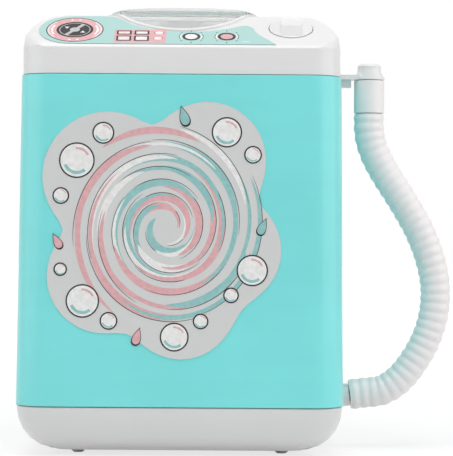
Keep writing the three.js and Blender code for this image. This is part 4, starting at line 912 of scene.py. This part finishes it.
@dataclass
class DrainHose:
    """The ribbed hose from the spout up to the holder's cuff."""

    diameter: float = 0.0122
    groove: float = 0.0115
    bore: float = 0.0064
    neck: float = 0.0088
    neck_length: float = 0.0066
    ribs: int = 37
    rib_steps: int = 10
    sides: int = 40
    fullness: float = 1.5
    sharp: float = math.radians(60)
    # distance either way over which the route's direction is taken
    nudge: float = 1e-4
    # x and z of the route, measured from the middle of the case
    route: tuple = (
        (0.0677, 0.02135), (0.0738, 0.0221), (0.0798, 0.02284), (0.0841, 0.0249),
        (0.0881, 0.0281), (0.0915, 0.0321), (0.0945, 0.0365), (0.0971, 0.0411),
        (0.0992, 0.0459), (0.1007, 0.0508), (0.1016, 0.0556), (0.1020, 0.0605),
        (0.1019, 0.0653), (0.1012, 0.0701), (0.1001, 0.0749), (0.0986, 0.0797),
        (0.0967, 0.0845), (0.0944, 0.0894), (0.0917, 0.0942), (0.0888, 0.0990),
        (0.0858, 0.1037), (0.0827, 0.1084), (0.0798, 0.1133), (0.0773, 0.1183),
        (0.0755, 0.1236), (0.0748, 0.1289), (0.0748, 0.1343), (0.0748, 0.1409),
    )

    def build(self, middle_x: float) -> bpy.types.Object:
        """Makes the hose.

        Args:
            middle_x: x of the middle of the case.

        Returns:
            The hose's piece.
        """
        line = smooth_route(np.array([(x + middle_x, 0, z) for x, z in self.route]))
        reach = np.concatenate(
            [[0], np.cumsum(np.linalg.norm(np.diff(line, axis=0), axis=1))])
        length = float(reach[-1])
        ribbed = length - self.neck_length
        outer = self.outside(ribbed, length)
        inner = [(at, self.bore / 2) for at in np.linspace(length, 0, self.ribs * 2)]
        rings = [self.ring(line, reach, at, radius) for at, radius in outer + inner]
        count = len(rings)
        faces = [(row * self.sides + step, row * self.sides + (step + 1) % self.sides,
                  (row + 1) % count * self.sides + (step + 1) % self.sides,
                  (row + 1) % count * self.sides + step)
                 for row in range(count) for step in range(self.sides)]
        piece = add_piece("drain_hose_ribbed", np.vstack(rings), faces, Palette.HOSE,
                          Body.CASE, self.sharp)
        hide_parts("drain_hose")
        log.info("hose length %.4f", length)
        return piece

    def outside(self, ribbed: float, length: float) -> list[Point]:
        """Lays out the rings of the outer skin.

        Args:
            ribbed: length of the ribbed run.
            length: length of the whole hose.

        Returns:
            The distance along the route and the radius of each ring.
        """
        rise = (self.diameter - self.groove) / 2
        stations = []
        for step in range(self.ribs * self.rib_steps + 1):
            share = step % self.rib_steps / self.rib_steps
            radius = self.groove / 2 + rise * math.sin(math.pi * share) ** self.fullness
            stations.append((ribbed * step / (self.ribs * self.rib_steps), radius))
        return stations + [(ribbed, self.neck / 2), (length, self.neck / 2)]

    def ring(self, line: np.ndarray, reach: np.ndarray, at: float,
             radius: float) -> np.ndarray:
        """Lays points round the route.

        Args:
            line: points along the route, one a row.
            reach: distance along the route of each of them.
            at: distance at which the ring lies.
            radius: the ring's radius.

        Returns:
            The ring's points, one a row.
        """
        middle, ahead, behind = (
            np.array([np.interp(spot, reach, line[:, axis]) for axis in range(3)])
            for spot in (at, at + self.nudge, at - self.nudge))
        way = (ahead - behind) / np.linalg.norm(ahead - behind)
        side = np.array([0, 1, 0])
        rise = np.cross(way, side)
        angles = np.arange(self.sides)[:, None] * TURN / self.sides
        return middle + radius * (side * np.cos(angles) + rise * np.sin(angles))


def swelling(width: float, swell: float, ends: float) -> Callable[[float], float]:
    """The width of a stroke at a share of its length, from thin ends to a broad middle."""
    return lambda share: width * math.sin(math.pi * share) ** swell + ends


@dataclass
class FrontLabel:
    """The print of the large front label: a whirl of water, bubbles and drops."""

    whirl_centre: Point = (0.0015, 0.001)
    whirl_inner: float = 0.0065
    whirl_outer: float = 0.0355
    strokes: int = 46
    golden: float = math.radians(137.508)
    # degrees that the innermost stroke sweeps, how many fewer the outermost does, and how
    # the strokes vary about that from one to the next
    sweep: float = 165
    sweep_loss: float = 85
    least_sweep: float = 0.75
    sweep_swing: float = 0.5
    sweep_pace: float = 2.1
    # how far a stroke drifts outwards, and the whirl's height against its width
    drift: float = 0.0042
    height_share: float = 1.06
    arc_points: int = 26
    # width of the narrowest stroke, what the broadest adds, how the widths vary from one to
    # the next, how fully a stroke swells and the width of its ends
    narrow: float = 0.0012
    broader: float = 0.0016
    width_pace: float = 1.7
    swell: float = 0.6
    ends: float = 6e-5
    # the same of the fine line beside every other stroke, and its place across the stroke
    hairline: float = 0.00022
    hair_swell: float = 0.5
    hair_ends: float = 4e-5
    hair_place: float = 0.55
    outline_ink: float = 0.00055
    # points round a drop, its half width, how its tip tapers, its middle from its foot as
    # shares of its length, and its coloured inside as a share of the whole
    drop_points: int = 40
    drop_width: float = 0.34
    drop_taper: float = 1.4
    drop_middle: float = 0.55
    drop_inside: float = 0.84
    low: float = 0.00002
    layer: float = 0.000001
    # ink, outer and inner radius as shares of the bubble's, start and sweep in degrees
    # and steps of each glint
    glints: tuple = (
        (Palette.TEAL, 0.78, 0.60, 200, 110, 16),
        (Palette.PINK, 0.74, 0.62, 25, 70, 12),
    )
    # centre and radius of each bubble
    bubbles: tuple = (
        ((-0.0325, 0.0265), 0.0068), ((-0.0225, 0.0370), 0.0042),
        ((-0.0385, 0.0130), 0.0032), ((0.0245, 0.0375), 0.0058),
        ((0.0345, 0.0290), 0.0034), ((0.0345, -0.0150), 0.0060),
        ((0.0265, -0.0245), 0.0030), ((0.0050, -0.0405), 0.0055),
        ((0.0150, -0.0345), 0.0030), ((-0.0300, -0.0270), 0.0064),
        ((-0.0200, -0.0345), 0.0034), ((-0.0385, -0.0150), 0.0026),
    )
    # middle, length and lean of each drop
    drops: tuple = (
        ((0.0080, 0.0440), 0.0085, 0.3), ((-0.0400, -0.0040), 0.0070, 0.5),
        ((0.0385, 0.0020), 0.0075, -0.4), ((-0.0090, -0.0400), 0.0075, -0.3),
    )
    press: Printing = field(init=False)

    def build(self) -> list[bpy.types.Object]:
        """Prints the label.

        Returns:
            The inks' pieces.
        """
        face = FlatFace("front_label", Vector((0, -1, 0)))
        self.press = Printing(face, (face.low + face.high) / 2, "front_print")
        self.print_whirl()
        for centre, radius in self.bubbles:
            self.print_bubble(centre, radius)
        for number, (spot, length, lean) in enumerate(self.drops):
            self.print_drop(spot, length, lean, (Palette.TEAL, Palette.PINK)[number % 2])
        return self.press.pull()

    def arc(self, number: int, offset: float = 0) -> Outline:
        """Draws the middle line of one stroke of the whirl.

        Args:
            number: the stroke's number, from the inside.
            offset: how far outside the stroke's own line it runs.

        Returns:
            Points along the line.
        """
        share = number / (self.strokes - 1)
        radius = self.whirl_inner + (self.whirl_outer - self.whirl_inner) * share + offset
        start = self.golden * number
        sweep = (math.radians(self.sweep - self.sweep_loss * share)
                 * (self.least_sweep
                    + self.sweep_swing * math.sin(number * self.sweep_pace) ** 2))
        return [(self.whirl_centre[0] + (radius + self.drift * (part - 0.5))
                 * math.cos(start + sweep * part),
                 self.whirl_centre[1] + (radius + self.drift * (part - 0.5))
                 * math.sin(start + sweep * part) * self.height_share)
                for part in np.linspace(0, 1, self.arc_points)]

    def print_whirl(self) -> None:
        """Prints the strokes of the whirl, broad ones in colour and fine ones dark."""
        inks = (Palette.PINK, Palette.TEAL, Palette.PAPER, Palette.PINK, Palette.TEAL)
        for number in range(self.strokes):
            ink = inks[number % len(inks)]
            broad = self.narrow + self.broader * math.sin(number * self.width_pace) ** 2
            self.press.stroke(ink, self.arc(number), swelling(broad, self.swell, self.ends),
                              self.low + number * self.layer)
            if number % 2 == 0:
                self.press.stroke(
                    Palette.CHARCOAL, self.arc(number, broad * self.hair_place),
                    swelling(self.hairline, self.hair_swell, self.hair_ends),
                    self.low + (number + 0.5) * self.layer)

    def print_bubble(self, centre: Point, radius: float) -> None:
        """Prints one bubble: a pale disc, a dark rim and two glints.

        Args:
            centre: its centre.
            radius: its outer radius.
        """
        height = self.low + self.strokes * self.layer
        self.press.patch(Palette.PAPER, circle(centre, radius - self.outline_ink / 2),
                         height)
        self.press.ring(Palette.CHARCOAL, centre, radius, radius - self.outline_ink,
                        height + 2 * self.layer)
        for ink, outer, inner, start, sweep, steps in self.glints:
            self.press.ring(ink, centre, radius * outer, radius * inner,
                            height + 4 * self.layer, math.radians(start),
                            math.radians(sweep), steps)

    def print_drop(self, spot: Point, length: float, lean: float, ink: Palette) -> None:
        """Prints one falling drop with a dark rim.

        Args:
            spot: its middle.
            length: its length.
            lean: angle that it leans by.
            ink: ink of its inside.
        """
        height = self.low + self.strokes * self.layer
        for grow, colour in ((1.0, Palette.CHARCOAL), (self.drop_inside, ink)):
            height += 2 * self.layer
            outline = []
            for step in range(self.drop_points):
                angle = TURN * step / self.drop_points
                wide = (length * self.drop_width * math.sin(angle)
                        * math.sin(angle / 2) ** self.drop_taper)
                down = length * (0.5 + 0.5 * math.cos(angle) - self.drop_middle)
                outline.append((
                    spot[0] + grow * (wide * math.cos(lean) - down * math.sin(lean)),
                    spot[1] + grow * (wide * math.sin(lean) + down * math.cos(lean))))
            self.press.patch(colour, outline, height)


@dataclass
class PanelPrint:
    """The print of the control panel: dial, windows, buttons and two small dials."""

    front_edge: float = 0.002
    dial_centre: Point = (-0.0415, 0.0144)
    dial_radius: float = 0.0111
    # shares of the dial's radius: its dark face, the silver ring and the pointer's hub
    dial_face: float = 0.645
    dial_ring: tuple = (0.545, 0.515)
    dial_hub: float = 0.175
    # ink, outer and inner radius as shares, start, sweep and steps of the dial's arcs
    dial_arcs: tuple = (
        (Palette.PAPER, 0.84, 0.76, -0.5, 1.0, 16),
        (Palette.BLUSH, 0.96, 0.89, -0.75, 1.5, 20),
        (Palette.PAPER, 0.87, 0.78, math.pi / 2 - 0.22, 0.1, 4),
        (Palette.PAPER, 0.87, 0.78, math.pi / 2 + 0.12, 0.1, 4),
    )
    # the pointer's lean, its corners along and across it, and how far it lies under the hub
    pointer_lean: float = math.radians(57)
    pointer: tuple = ((-0.53, -0.07), (0, -0.055), (0.53, -0.07), (0.53, 0.07), (0, 0.055),
                      (-0.53, 0.07))
    pointer_drop: float = 5e-6
    # corners of the marker beside the pointer, as shares of the dial's radius
    marker: tuple = ((0.37, 0.24), (0.20, 0.24), (0.285, 0.085))
    line: float = 0.0004
    low: float = 0.00002
    middle: float = 0.00004
    high: float = 0.00006
    box: tuple = (-0.0260, 0.0029, -0.0060, 0.0148)
    window_columns: tuple = ((-0.0251, -0.0194), (-0.0183, -0.0126))
    window_rows: tuple = ((0.0045, 0.0091), (0.0102, 0.0138))
    window_frame: float = 0.0007
    buttons: tuple = ((-0.0091, 0.0069), (-0.0088, 0.0119))
    button_reach: Point = (0.00145, 0.00125)
    button_points: int = 32
    # outer and inner radius as shares of the button's reach, start, sweep and steps
    button_arc: tuple = (1.28, 1.2, -0.45, 0.9, 10)
    small_dials: tuple = (((0.00365, 0.0087), Palette.PAPER), ((0.0173, 0.0089), Palette.PINK))
    small_outer: float = 0.00345
    small_inner: float = 0.0024
    # ink, outer and inner radius, start, sweep and steps of a small dial's arcs
    small_arcs: tuple = (
        (Palette.CHARCOAL, 0.0047, 0.00448, -0.55, 1.1, 12),
        (Palette.PAPER, 0.0044, 0.0038, -0.6, 1.2, 12),
    )
    # eighths of a turn with a tick, from where to where it reaches, and its width
    long_ticks: tuple = ((2, 6), (0.0048, 0.0059))
    short_ticks: tuple = ((1, 3, 5, 7), (0.0050, 0.0057))
    tick_width: float = 0.0003
    dash: tuple = (0.0232, 0.0042, 0.0263, 0.0046)
    press: Printing = field(init=False)

    def build(self, middle_x: float) -> list[bpy.types.Object]:
        """Prints the panel.

        Args:
            middle_x: x of the middle of the case.

        Returns:
            The inks' pieces.
        """
        face = FlatFace("panel_label", Vector((0, -0.5, 0.866)))
        origin = Vector((middle_x, face.low.y - self.front_edge))
        self.press = Printing(face, origin, "panel_print")
        self.print_dial()
        self.print_windows()
        self.print_buttons()
        for centre, ink in self.small_dials:
            self.print_small_dial(centre, ink)
        self.press.patch(Palette.PAPER, self.rectangle(*self.dash), self.low)
        return self.press.pull()

    @staticmethod
    def rectangle(left: float, front: float, right: float, back: float) -> Outline:
        """Outline of a rectangle."""
        return [(left, front), (right, front), (right, back), (left, back)]

    def print_dial(self) -> None:
        """Prints the large dial: pink ring, pale arcs, dark face and silver pointer."""
        centre, radius = self.dial_centre, self.dial_radius
        self.press.ring(Palette.CHARCOAL, centre, radius, radius - self.line, self.middle)
        face = radius * self.dial_face
        self.press.ring(Palette.PINK, centre, radius - self.line, face, self.low)
        self.press.patch(Palette.CHARCOAL, circle(centre, face), self.low)
        for side in (0, math.pi):
            for ink, outer, inner, start, sweep, steps in self.dial_arcs:
                self.press.ring(ink, centre, radius * outer, radius * inner, self.middle,
                                side + start, sweep, steps)
        outer, inner = self.dial_ring
        self.press.ring(Palette.SILVER, centre, radius * outer, radius * inner, self.middle)
        self.press.patch(Palette.SILVER, circle(centre, radius * self.dial_hub), self.high)
        along = Vector((math.cos(self.pointer_lean), math.sin(self.pointer_lean)))
        aside = Vector((-along.y, along.x))
        middle = Vector(centre)
        bar = [middle + along * (radius * a) + aside * (radius * b) for a, b in self.pointer]
        self.press.patch(Palette.SILVER, [tuple(spot) for spot in bar],
                         self.high - self.pointer_drop)
        for side in (-1, 1):
            points = [(centre[0] + side * radius * x, centre[1] - side * radius * y)
                      for x, y in self.marker]
            self.press.patch(Palette.PAPER, points, self.high)

    def print_windows(self) -> None:
        """Prints the pink field and its four framed windows."""
        self.press.patch(Palette.PINK, self.rectangle(*self.box), self.low)
        fills = (Palette.BLUSH, Palette.PAPER, Palette.BLUSH, Palette.PAPER)
        number = 0
        for front, back in self.window_rows:
            for left, right in self.window_columns:
                edge = self.window_frame
                outer = self.rectangle(left, front, right, back)
                inner = self.rectangle(left + edge, front + edge, right - edge, back - edge)
                self.press.band(Palette.CHARCOAL, outer, inner, self.high, True)
                self.press.patch(fills[number], inner, self.middle)
                number += 1

    def print_buttons(self) -> None:
        """Prints two pale round-ended buttons with short dark arcs beside them."""
        across, along = self.button_reach
        outer, inner, start, sweep, steps = self.button_arc
        for spot in self.buttons:
            outline = [(spot[0] + across * math.cos(angle), spot[1] + along * math.sin(angle))
                       for angle in np.linspace(0, TURN, self.button_points, endpoint=False)]
            self.press.patch(Palette.PAPER, outline, self.middle)
            for side in (0, math.pi):
                self.press.ring(Palette.CHARCOAL, spot, across * outer, across * inner,
                                self.middle, side + start, sweep, steps)

    def print_small_dial(self, centre: Point, ink: Palette) -> None:
        """Prints a small dial: dark ring, coloured middle, fine arcs and ticks.

        Args:
            centre: its centre.
            ink: ink of its middle.
        """
        self.press.ring(Palette.CHARCOAL, centre, self.small_outer, self.small_inner,
                        self.high)
        self.press.patch(ink, circle(centre, self.small_inner), self.middle)
        for side in (0, math.pi):
            for tone, outer, inner, start, sweep, steps in self.small_arcs:
                self.press.ring(tone, centre, outer, inner, self.middle, side + start,
                                sweep, steps)
        for eighths, (inner, outer) in (self.long_ticks, self.short_ticks):
            for eighth in eighths:
                angle = TURN * eighth / 8
                way = Vector((math.cos(angle), math.sin(angle)))
                line = [tuple(Vector(centre) + way * reach)
                        for reach in np.linspace(inner, outer, 3)]
                self.press.stroke(Palette.CHARCOAL, line, lambda share: self.tick_width,
                                  self.middle)


@dataclass
class PackedPieces:
    """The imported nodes, with their facets smoothed and their finishes on."""

    smooth_under: float = math.radians(32)
    join_under: float = 1e-6

    def build(self) -> None:
        """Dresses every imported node."""
        for name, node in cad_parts.items():
            self.finish_of(name).on(node)
            self.soften(node)
            log.info("%s: %s", name, self.finish_of(name).name)

    @staticmethod
    def finish_of(name: str) -> Palette:
        """The finish of a node, from the longest start of its name that is listed."""
        starts = [start for start in NODE_FINISHES if name.startswith(start)]
        return NODE_FINISHES[max(starts, key=len)] if starts else Palette.STEEL

    def soften(self, node: bpy.types.Object) -> None:
        """Shades the node's rounds smoothly and keeps its real edges.

        Args:
            node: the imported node.
        """
        node.data.shade_smooth()
        weld = node.modifiers.new("join_facets", "WELD")
        weld.merge_threshold = self.join_under
        split = node.modifiers.new("keep_edges", "EDGE_SPLIT")
        split.split_angle = self.smooth_under


def main() -> None:
    """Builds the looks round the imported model."""
    logging.basicConfig(level=logging.INFO, format="%(message)s")
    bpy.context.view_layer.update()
    low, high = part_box("body_shell")
    middle = (Vector(low) + Vector(high)) / 2
    Studio().build(middle)
    DrainHose().build(middle.x)
    PackedPieces().build()
    FrontLabel().build()
    PanelPrint().build(middle.x)


if __name__ == "__main__":
    main()
